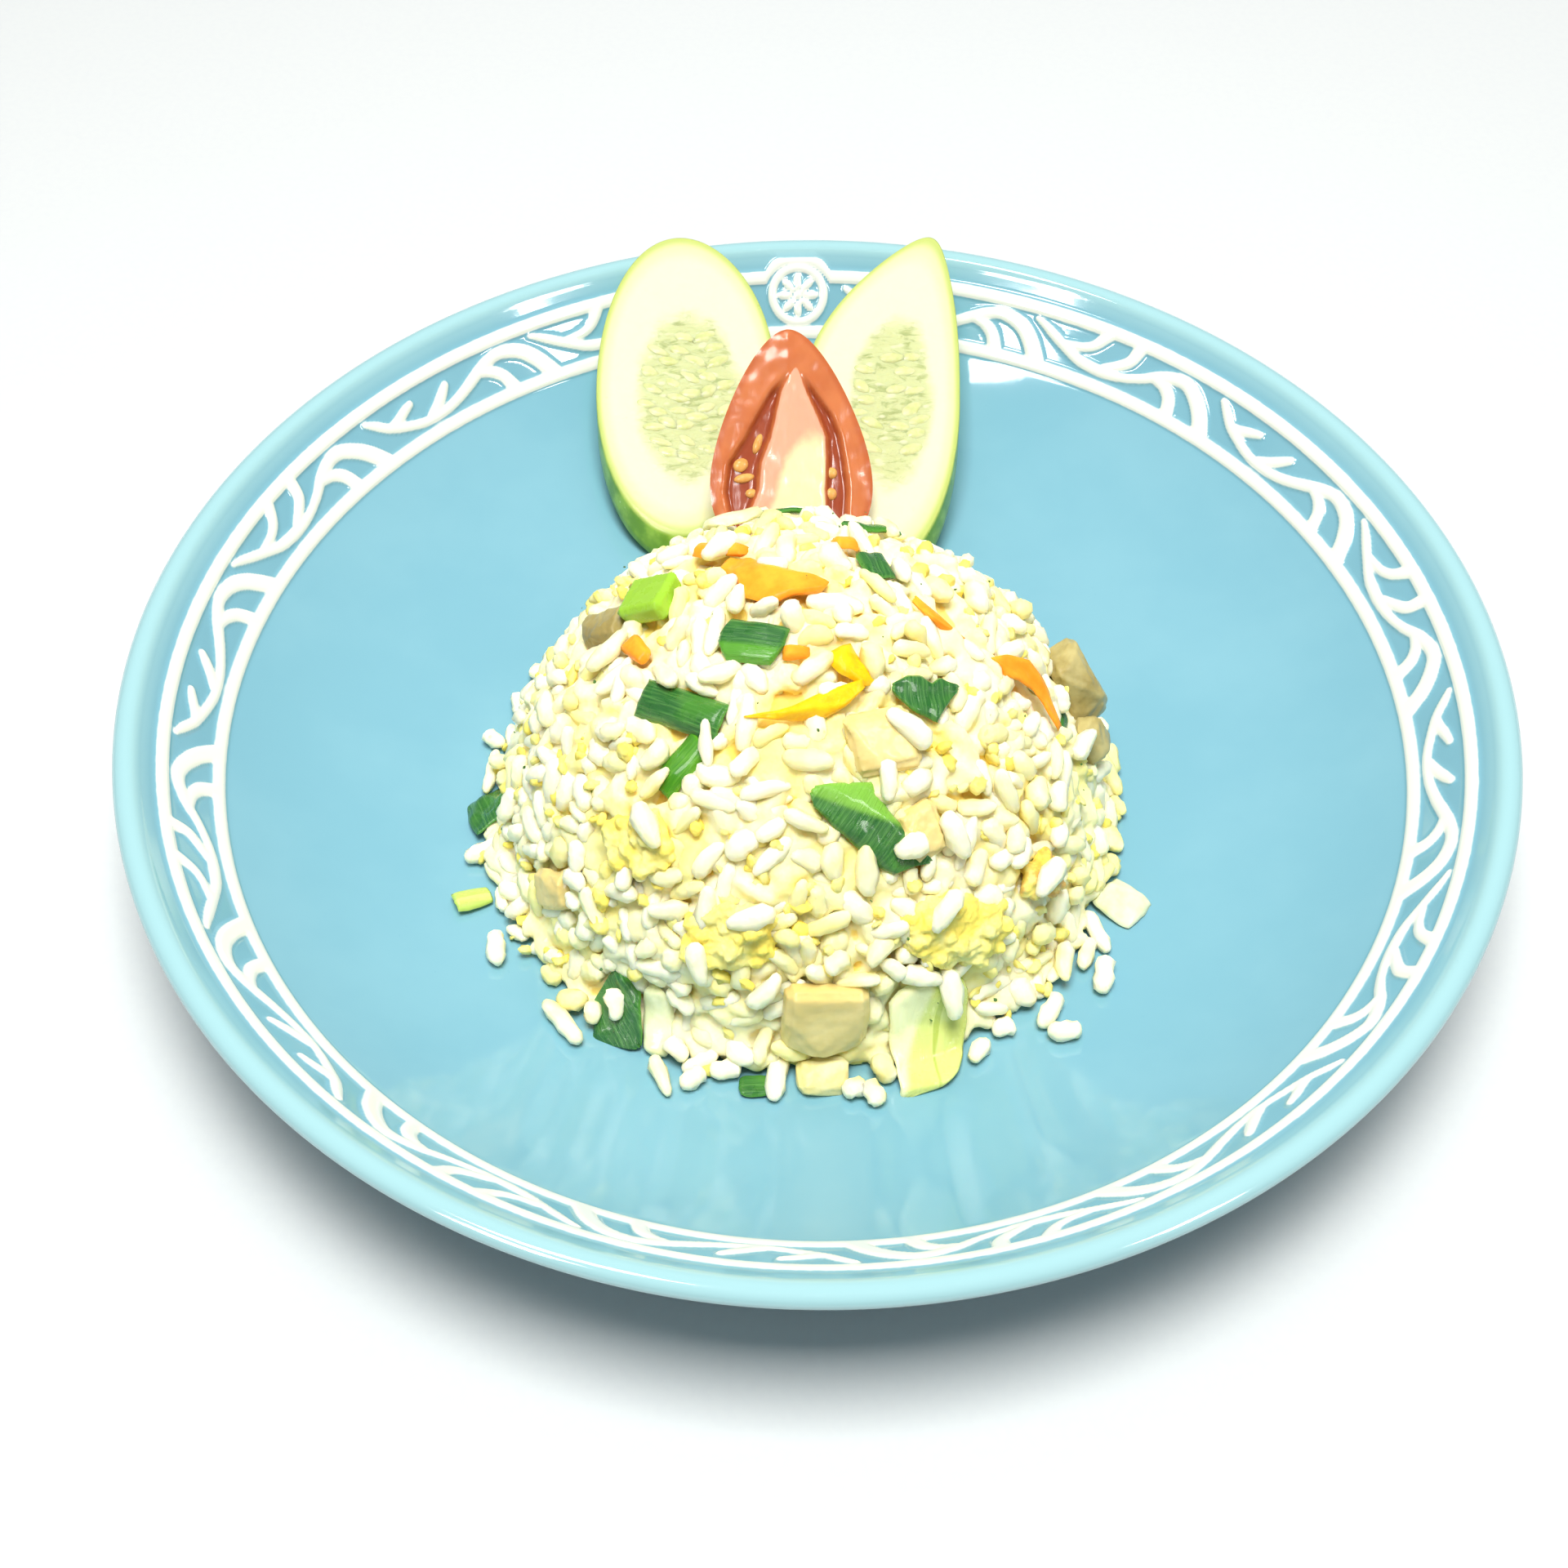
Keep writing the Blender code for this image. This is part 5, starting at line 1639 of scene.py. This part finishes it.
@dataclass
class Scatter:
    """Copies a small form to many places with Geometry Nodes and makes them one plain mesh."""

    name: str
    form: Piece
    finish: Finish

    def tree(self) -> bpy.types.NodeTree:
        """Builds the node tree: instances on points, turned and sized by what the points carry."""
        tree = bpy.data.node_groups.new(self.name + "_nodes", "GeometryNodeTree")
        for title, kind in (("Geometry", "NodeSocketGeometry"), ("Form", "NodeSocketObject"),
                            ("Finish", "NodeSocketMaterial")):
            tree.interface.new_socket(title, in_out="INPUT", socket_type=kind)
        tree.interface.new_socket("Geometry", in_out="OUTPUT", socket_type="NodeSocketGeometry")
        source, result, place, euler, real, dress, info, turn, size = (
            tree.nodes.new(kind) for kind in (
                "NodeGroupInput", "NodeGroupOutput", "GeometryNodeInstanceOnPoints",
                "FunctionNodeEulerToRotation", "GeometryNodeRealizeInstances", "GeometryNodeSetMaterial",
                "GeometryNodeObjectInfo", *["GeometryNodeInputNamedAttribute"] * 2))
        info.transform_space = "ORIGINAL"
        for node, name in ((turn, "turn"), (size, "size")):
            node.data_type = "FLOAT_VECTOR"
            node.inputs["Name"].default_value = name
        for start, output, end, entry in (
                (source, "Form", info, "Object"), (source, "Geometry", place, "Points"),
                (info, "Geometry", place, "Instance"), (turn, "Attribute", euler, 0),
                (euler, 0, place, "Rotation"), (size, "Attribute", place, "Scale"),
                (place, "Instances", real, "Geometry"), (real, "Geometry", dress, "Geometry"),
                (source, "Finish", dress, "Material"), (dress, "Geometry", result, "Geometry")):
            tree.links.new(start.outputs[output], end.inputs[entry])
        return tree

    def build(self, spots: Sequence[Vector], turns: Sequence[Sequence[float]],
              sizes: Sequence[Sequence[float]], tones: Sequence[float]) -> Piece:
        """Makes the piece.

        Args:
            spots: where each copy goes.
            turns: its turn as Euler angles.
            sizes: its size along its own axes.
            tones: a number that its material may read.

        Returns:
            The finished piece, with plain mesh data.
        """
        mesh = mesh_of(self.name, spots, [])
        carry(mesh, "turn", np.array(turns))
        carry(mesh, "size", np.array(sizes))
        carry(mesh, "tone", np.array(tones))
        piece = bpy.data.objects.new(self.name, mesh)
        bpy.context.scene.collection.objects.link(piece)
        tree = self.tree()
        modifier = piece.modifiers.new("scatter", "NODES")
        modifier.node_group = tree
        values = {"Form": self.form, "Finish": self.finish.material()}
        for item in tree.interface.items_tree:
            if item.in_out == "INPUT" and item.name in values:
                modifier[item.identifier] = values[item.name]
        bake_modifiers(piece)
        for name in ("turn", "size"):
            found = piece.data.attributes.get(name)
            if found:
                piece.data.attributes.remove(found)
        piece.data.shade_smooth()
        return piece


@dataclass
class Crumbs:
    """Small bits of egg and herb between the grains."""

    dome: RiceDome
    seed: int = 77

    def form(self, name: str, finish: Finish, squash: float) -> Piece:
        """A small ragged ball of unit size."""
        shape = bmesh.new()
        bmesh.ops.create_icosphere(shape, subdivisions=2, radius=0.5)
        for vert in shape.verts:
            ruffle = 1 + 0.55 * noise.noise(vert.co * 4.2 + Vector((len(name), 1, 2)))
            vert.co = Vector((vert.co.x * ruffle, vert.co.y * ruffle, vert.co.z * ruffle * squash))
        return new_object(name, mesh_from(shape, name), finish)

    def build(self, name: str, finish: Finish, slot: str, count: int, size: Pair, rise: float,
              squash: float, toppings: BVHTree) -> Piece:
        """Scatters crumbs of one kind over the dome.

        Args:
            name: the piece's name.
            finish: its finish.
            slot: not used.
            count: how many crumbs.
            size: the smallest and the largest width.
            rise: how far over the core they lie.
            squash: height of a crumb's form as a share of its width.
            toppings: pieces that they keep off.

        Returns:
            The finished piece.
        """
        draw = random.Random(self.seed + count)
        radii, levels, area = self.dome.section()
        spots, turns, sizes, tones = [], [], [], []
        while len(spots) < count:
            share = draw.random()
            level, radius = float(np.interp(share, area, levels)), float(np.interp(share, area, radii))
            turn = draw.uniform(0, math.tau)
            spot = self.dome.middle + Vector((math.cos(turn) * radius, math.sin(turn) * radius, level))
            outward = (spot - self.dome.middle).normalized()
            spot += outward * (rise + draw.gauss(0, 0.4) * MM)
            width = draw.uniform(*size)
            spot.z = max(spot.z, self.dome.plate.surface(spot.xy.length) + width * 0.55)
            near = toppings.find_nearest(spot)
            if near[0] is not None and near[3] < width * 0.8 + 0.3 * MM:
                continue
            spots.append(spot)
            turns.append(tuple(draw.uniform(0, 6.28) for _ in range(3)))
            sizes.append((width, width * draw.uniform(0.6, 1.0), width * draw.uniform(0.5, 0.9)))
            tones.append(draw.random())
        form = self.form(name + "_form", finish, squash)
        piece = Scatter(name, form, finish).build(spots, turns, sizes, tones)
        bpy.data.objects.remove(form)
        return settle(piece, slot)


# ---------------------------------------------------------------- studio


@dataclass
class Studio:
    """Camera, pale floor and soft light."""

    camera_place: Triple = (0.0, -0.2418, 0.2983)
    aim: Triple = (-0.00476, -0.02598, 0.034)
    lens: float = 49.43

    def build(self) -> None:
        """Adds the camera, the floor and the lights."""
        scene = bpy.context.scene
        camera = bpy.data.cameras.new("camera")
        camera.lens, camera.sensor_width = self.lens, 36
        camera.clip_start = 0.01
        viewer = bpy.data.objects.new("camera", camera)
        viewer.location = self.camera_place
        viewer.rotation_euler = (Vector(self.aim) - viewer.location).to_track_quat("-Z", "Y").to_euler()
        scene.collection.objects.link(viewer)
        scene.camera = viewer
        scene.view_settings.view_transform = "Standard"
        half = 3.0
        mesh = mesh_of("floor", [(-half, -half, 0), (half, -half, 0), (half, half, 0), (-half, half, 0)],
                       [(0, 1, 2, 3)])
        new_object("floor", mesh, FLOOR)
        world = bpy.data.worlds.new("pale room")
        scene.world = world
        world.use_nodes = True
        background = world.node_tree.nodes["Background"]
        background.inputs["Color"].default_value = (0.96, 0.985, 1.0, 1)
        background.inputs["Strength"].default_value = 0.26
        self.lamp("back_key", (0.02, 0.60, 0.95), (0.9, 0.5), 2.6, mirrored=False)
        self.lamp("window_left", (-0.423, -0.46, 0.65), (0.18, 0.24), 2.6, lights=False)
        self.lamp("window_right", (0.52, -0.37, 0.63), (0.14, 0.20), 1.7, lights=False)
        self.lamp("overhead", (-0.267, -0.13, 0.955), (0.15, 0.28), 2.2, lights=False)
        self.lamp("soft_top", (0.0, -0.19, 1.12), (0.5, 0.5), 19.4, mirrored=False)

    def lamp(self, name: str, place: Triple, size: Pair, power: float,
             mirrored: bool = True, lights: bool = True) -> None:
        """Adds one rectangular light that faces the dish; it may only be mirrored, or only light."""
        light = bpy.data.lights.new(name, "AREA")
        light.shape = "RECTANGLE"
        light.size, light.size_y = size
        light.energy = power
        light.color = (1.0, 0.985, 0.96)
        holder = bpy.data.objects.new(name, light)
        holder.location = place
        holder.visible_glossy, holder.visible_diffuse = mirrored, lights
        holder.rotation_euler = (Vector((0, 0, 0.02)) - holder.location).to_track_quat("-Z", "Y").to_euler()
        bpy.context.scene.collection.objects.link(holder)


# ---------------------------------------------------------------- the dish


LEAVES = (
    Leaf("scallion_roll", SCALLION, "scallion", 1.0 * MM, curl=-0.8 * MM, wave=0.1 * MM, lift=0.9 * MM,
         fresh=(0.0, -1.0, -0.25),
         stations=((-1.12, -0.2, 0.3), (-0.9, -0.8, 1.15), (-0.7, -1.1, 1.1), (0.85, -1.0, 0.95),
                   (1.12, -0.1, 0.85))),
    Leaf("scallion_bent", SCALLION, "scallion", 0.9 * MM, curl=-0.3 * MM, corner=0.02, wave=0.1 * MM,
         lift=0.8 * MM, shrink=-0.8 * MM),
    Leaf("scallion_tail", SCALLION_BRIGHT, "scallion", 0.9 * MM, curl=-0.3 * MM, corner=0.03,
         lift=0.4 * MM),
    Leaf("scallion_fold", SCALLION_ACROSS, "scallion", 0.8 * MM, wave=0.5 * MM, lift=1.0 * MM,
         stations=((-1.2, 0.3, 0.6), (-0.65, -0.8, 1.0), (-0.2, -1.1, 1.0), (0.15, -1.4, 0.6),
                   (0.5, -0.7, 0.95), (1.1, 0.3, 0.5))),
    Leaf("scallion_crest", SCALLION, "scallion", 1.0 * MM, curl=-0.8 * MM, corner=0.1, lift=1.0 * MM),
    # its paler upper-left side is a painted highlight of wet leaf
    Leaf("scallion_broad", SCALLION_ACROSS, "scallion", 0.8 * MM, curl=-0.3 * MM, wave=0.4 * MM,
         lift=1.0 * MM, fresh=(-0.6, 0.9, -0.55),
         stations=((-1.18, -0.15, 0.2), (-1.0, -0.5, 0.6), (-0.7, -0.6, 1.1), (-0.4, -0.7, 1.6),
                   (-0.03, -0.8, 1.25), (0.3, -0.9, 1.0), (0.6, -0.95, 0.8), (0.85, -0.8, 0.7),
                   (1.05, -0.1, 0.6), (1.25, 0.35, 0.5))),
    Leaf("scallion_foot_left", SCALLION, "scallion", 0.9 * MM, curl=-0.4 * MM, wave=0.5 * MM, lift=0.5 * MM,
         stations=((-0.85, 0.4, 0.85), (-0.46, -0.75, 1.0), (-0.06, -1.1, 1.15), (0.42, -1.5, 0.75),
                   (0.75, -0.75, 0.5), (1.05, -0.1, 0.2))),
    Leaf("scallion_foot_front", SCALLION, "scallion", 0.8 * MM, corner=0.25),
    Leaf("scallion_side_left", SCALLION, "scallion", 0.8 * MM, curl=-0.4 * MM, wave=0.5 * MM),
    Leaf("scallion_side_right", SCALLION, "scallion", 0.8 * MM),
    Leaf("scallion_sliver_left", SCALLION, "scallion", 0.9 * MM, taper=0.3, corner=0.5, lift=2.0 * MM),
    Leaf("scallion_sliver_right", SCALLION, "scallion", 0.9 * MM, taper=0.3, corner=0.5, lift=1.2 * MM),
    Leaf("leaf_pale", LEAF_PALE, "scallion_pale", 0.8 * MM, taper=0.2, curl=-0.6 * MM, lift=0.3 * MM),
    Leaf("petal_green", PETAL, "petal", 1.2 * MM, curl=-0.6 * MM, wave=0.1 * MM, lift=0.4 * MM, corner=0.02,
         fresh=(0.3, 1.0, -0.45),
         stations=((-1.1, 0.72, 0.82), (-0.97, 0.25, 0.85), (-0.86, -0.2, 0.88), (-0.6, -0.65, 0.93),
                   (-0.36, -0.93, 1.0), (0.16, -1.05, 1.14), (0.55, -1.0, 1.27), (0.8, -0.85, 1.1),
                   (1.0, -0.65, 0.6))),
    Leaf("onion_top", ONION, "onion", 1.5 * MM, corner=0.4, curl=-0.5 * MM, lift=2.0 * MM),
    Leaf("onion_foot_left", ONION, "onion", 1.4 * MM, corner=0.3, curl=-0.4 * MM),
    Leaf("onion_right", ONION, "onion", 1.2 * MM, corner=0.15, curl=-0.4 * MM),
    Leaf("carrot_back", CARROT, "carrot", 1.4 * MM, taper=0.2, wave=0.3 * MM, lift=1.8 * MM),
    Leaf("carrot_broad", CARROT, "carrot", 1.5 * MM, wave=0.4 * MM, lift=1.1 * MM,
         stations=((-1.4, -0.2, 0.6), (-0.8, -0.6, 0.8), (-0.4, -1.4, 0.95), (0.35, -1.35, 1.0),
                   (0.9, -0.4, 0.95), (1.2, 0.5, 0.9))),
    Leaf("carrot_small", CARROT, "carrot", 1.4 * MM, lift=1.2 * MM),
    Leaf("carrot_left", CARROT, "carrot", 1.6 * MM, taper=0.3, lift=0.9 * MM),
    Leaf("carrot_short", CARROT, "carrot", 1.4 * MM, taper=0.3, lift=1.1 * MM),
    Leaf("carrot_long", CARROT, "carrot", 1.3 * MM, wave=0.4 * MM, lift=2.0 * MM,
         stations=((-1.0, -0.3, 0.2), (-0.7, -0.5, 0.25), (-0.4, -0.7, 0.2), (-0.1, -0.95, 0.3),
                   (0.1, -0.5, 1.2), (0.3, 0.3, 1.85), (0.5, 0.4, 1.5), (0.7, 0.15, 1.05),
                   (0.85, -0.2, 0.5), (1.0, -0.6, -0.2))),
    Leaf("egg_strip_upper", YOLK, "yolk", 1.3 * MM, lift=1.3 * MM, wave=0.5 * MM,
         stations=((-1.1, -1.3, 1.6), (-0.4, -1.7, 1.7), (0.4, -1.3, 2.1), (1.0, -0.3, 2.5),
                   (1.5, 0.8, 2.5))),
    Leaf("egg_strip_lower", YOLK, "yolk", 1.3 * MM, wave=0.6 * MM, lift=1.3 * MM,
         stations=((-1.45, -0.25, -0.1), (-0.8, -0.6, 0.1), (-0.4, -0.9, 0.4), (0.2, -0.9, 1.2),
                   (0.75, 0.1, 1.7), (1.1, 1.2, 2.0))),
)

LUMPS = (
    Block("scallion_pale", SCALLION_PALE, "scallion_pale", rough=0.05 * MM, cuts=0, skew=0.10,
          grow=(0.98, 0.98, 1.1), shift=(0.0, 0.0, 0.4 * MM), ease=2),
    Block("mushroom_left", MUSHROOM, "mushroom", rough=0.3 * MM, pitch=3 * MM, cuts=2,
          grow=(1.0, 1.2, 1.1)),
    Block("mushroom_right", MUSHROOM, "mushroom", rough=0.2 * MM, pitch=4 * MM, cuts=2,
          grow=(1.1, 1.0, 1.1), shift=(0.0, 0.0, 0.3 * MM), skew=0.3, bevel=0.9 * MM, ease=14),
    Block("mushroom_low", MUSHROOM, "mushroom", rough=0.2 * MM, pitch=3 * MM, cuts=2, grow=(1.0, 1.0, 1.15),
          shift=(0.0, 0.0, 0.6 * MM), skew=0.3, bevel=0.8 * MM, ease=10),
    Block("meat_top", MEAT, "meat", rough=0.2 * MM, pitch=3.5 * MM, cuts=3, grow=(1.25, 1.75, 1.1),
          shift=(0.0, 0.0, 0.1 * MM), bevel=0.8 * MM, skew=0.2),
    Block("meat_middle", MEAT, "meat", rough=0.2 * MM, pitch=3 * MM, cuts=2, grow=(1.3, 1.7, 1.0),
          shift=(-1.5 * MM, 0.0, 0.0), bevel=0.8 * MM, skew=0.2),
    Block("meat_foot", MEAT, "meat", rough=0.2 * MM, pitch=5 * MM, cuts=4, bevel=0.9 * MM, skew=0.1,
          ease=16),
    Block("meat_front", MEAT_PALE, "meat_pale", rough=0.2 * MM, pitch=4 * MM, cuts=2, bevel=0.8 * MM,
          skew=0.2, ease=10),
    Block("meat_left", MEAT, "meat", rough=0.25 * MM, pitch=3 * MM, cuts=3, bevel=0.8 * MM),
    Lump("egg_left", CURD, "egg", rough=0.28 * MM, pitch=0.9 * MM, curds=70),
    Lump("egg_front", CURD, "egg", rough=0.28 * MM, pitch=0.9 * MM, curds=95),
    Lump("egg_right", CURD, "egg", rough=0.28 * MM, pitch=0.9 * MM, curds=110),
    Lump("egg_browned", CURD_BROWN, "egg_brown", rough=0.3 * MM, pitch=1.1 * MM, curds=30),
)

# Piece under each overlaid grain, shares of its half length and half width, bearing, length and width.
OVERLAID = (
    ("petal_green", 0.75, -0.3, 15, 8.6 * MM, 3.6 * MM),
    ("petal_green", 1.1, 0.6, 80, 7.0 * MM, 3.4 * MM),
    ("scallion_broad", 0.75, 0.55, 60, 5.4 * MM, 3.9 * MM),
    ("carrot_back", 0.2, -0.4, 78, 7.0 * MM, 3.5 * MM),
    ("carrot_broad", -0.2, 0.6, 10, 5.2 * MM, 2.8 * MM),
    ("egg_right", -0.6, 0.8, 70, 7.6 * MM, 3.4 * MM),
    ("egg_front", 0.6, 0.9, 20, 8.0 * MM, 3.5 * MM),
    ("egg_front", -0.7, -0.8, 100, 7.2 * MM, 3.3 * MM),
    ("meat_top", 0.9, 0.5, -50, 8.4 * MM, 3.6 * MM),
    ("meat_middle", 0.9, -0.9, 95, 8.0 * MM, 3.6 * MM),
    ("egg_left", 0.7, 0.7, 110, 7.6 * MM, 3.4 * MM),
    ("egg_browned", -0.6, 0.5, 40, 7.4 * MM, 3.4 * MM),
)

# Place on the plate in millimetres, bearing in degrees and length of each grain that fell off the dome.
SPILLED = (
    (-18, -67, 40, 4.5 * MM),
    (-5, -66, 85, 9 * MM),
    (7, -68, 20, 4 * MM),
    (10, -69, 120, 4.5 * MM),
    (-39, -57, -50, 10 * MM),
    (38, -53, 60, 7 * MM),
    (40, -57, 5, 5.5 * MM),
    (-55, -23, 30, 7.5 * MM),
    (-51, -43, 100, 6.5 * MM),
    (-13, -65, 10, 5 * MM),
    (47, -46, 80, 7 * MM),
)

SLICES = (
    CucumberSlice("cucumber_left", (-25.8 * MM, 78.9 * MM, 25.4 * MM), 63.6 * MM, 34.5 * MM, 1, 0.02, -0.10,
                  bed_middle=(0.02, -0.08), bed_size=(0.68, 0.66), columns=(-0.38, 0.0, 0.36), seeds=46,
                  seed_number=5),
    CucumberSlice("cucumber_right", (11.4 * MM, 74.1 * MM, 26.8 * MM), 69.4 * MM, 30 * MM, 0, 0.38, 0.60,
                  bed_middle=(0.12, -0.02), bed_size=(0.62, 0.60), columns=(-0.34, 0.42), seeds=22,
                  seed_number=9),
)


def tree_of(pieces: Iterable[Piece]) -> BVHTree:
    """One search tree over several pieces."""
    joined = bmesh.new()
    for piece in pieces:
        joined.from_mesh(piece.data)
    tree = BVHTree.FromBMesh(joined)
    joined.free()
    return tree


def main() -> None:
    """Builds every piece in order."""
    logging.basicConfig(level=logging.INFO, format="%(name)s %(message)s")
    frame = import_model()
    nodes = frame["nodes"]
    Studio().build()
    plate = Plate()
    plate.build()
    for piece in SLICES:
        piece.build()
    TomatoWedge().build()
    pieces = (*LEAVES, *LUMPS)
    for piece in pieces:
        piece.build(nodes[piece.node])
    eggs = tree_of(nodes[piece.node] for piece in pieces if piece.slot == "egg")
    tree = tree_of(nodes[piece.node] for piece in pieces if piece.slot != "egg")
    dome = RiceDome(plate)
    for name, *place in OVERLAID:
        dome.top(NodeFrame(nodes[name]), *place)
    for spilled in SPILLED:
        dome.lay(*spilled)
    dome.pack(tree, eggs)
    dome.build_packed()
    dome.build_grains()
    crumbs = Crumbs(dome)
    crumbs.build("egg_crumbs", CURD, "egg", dome.crumbs, (1.6 * MM, 3.6 * MM), 1.3 * MM, 0.8, tree)
    crumbs.build("herb_flecks", HERB, "scallion", 46, (0.3 * MM, 0.7 * MM), 3.0 * MM, 0.5, tree)


if __name__ == "__main__":
    main()
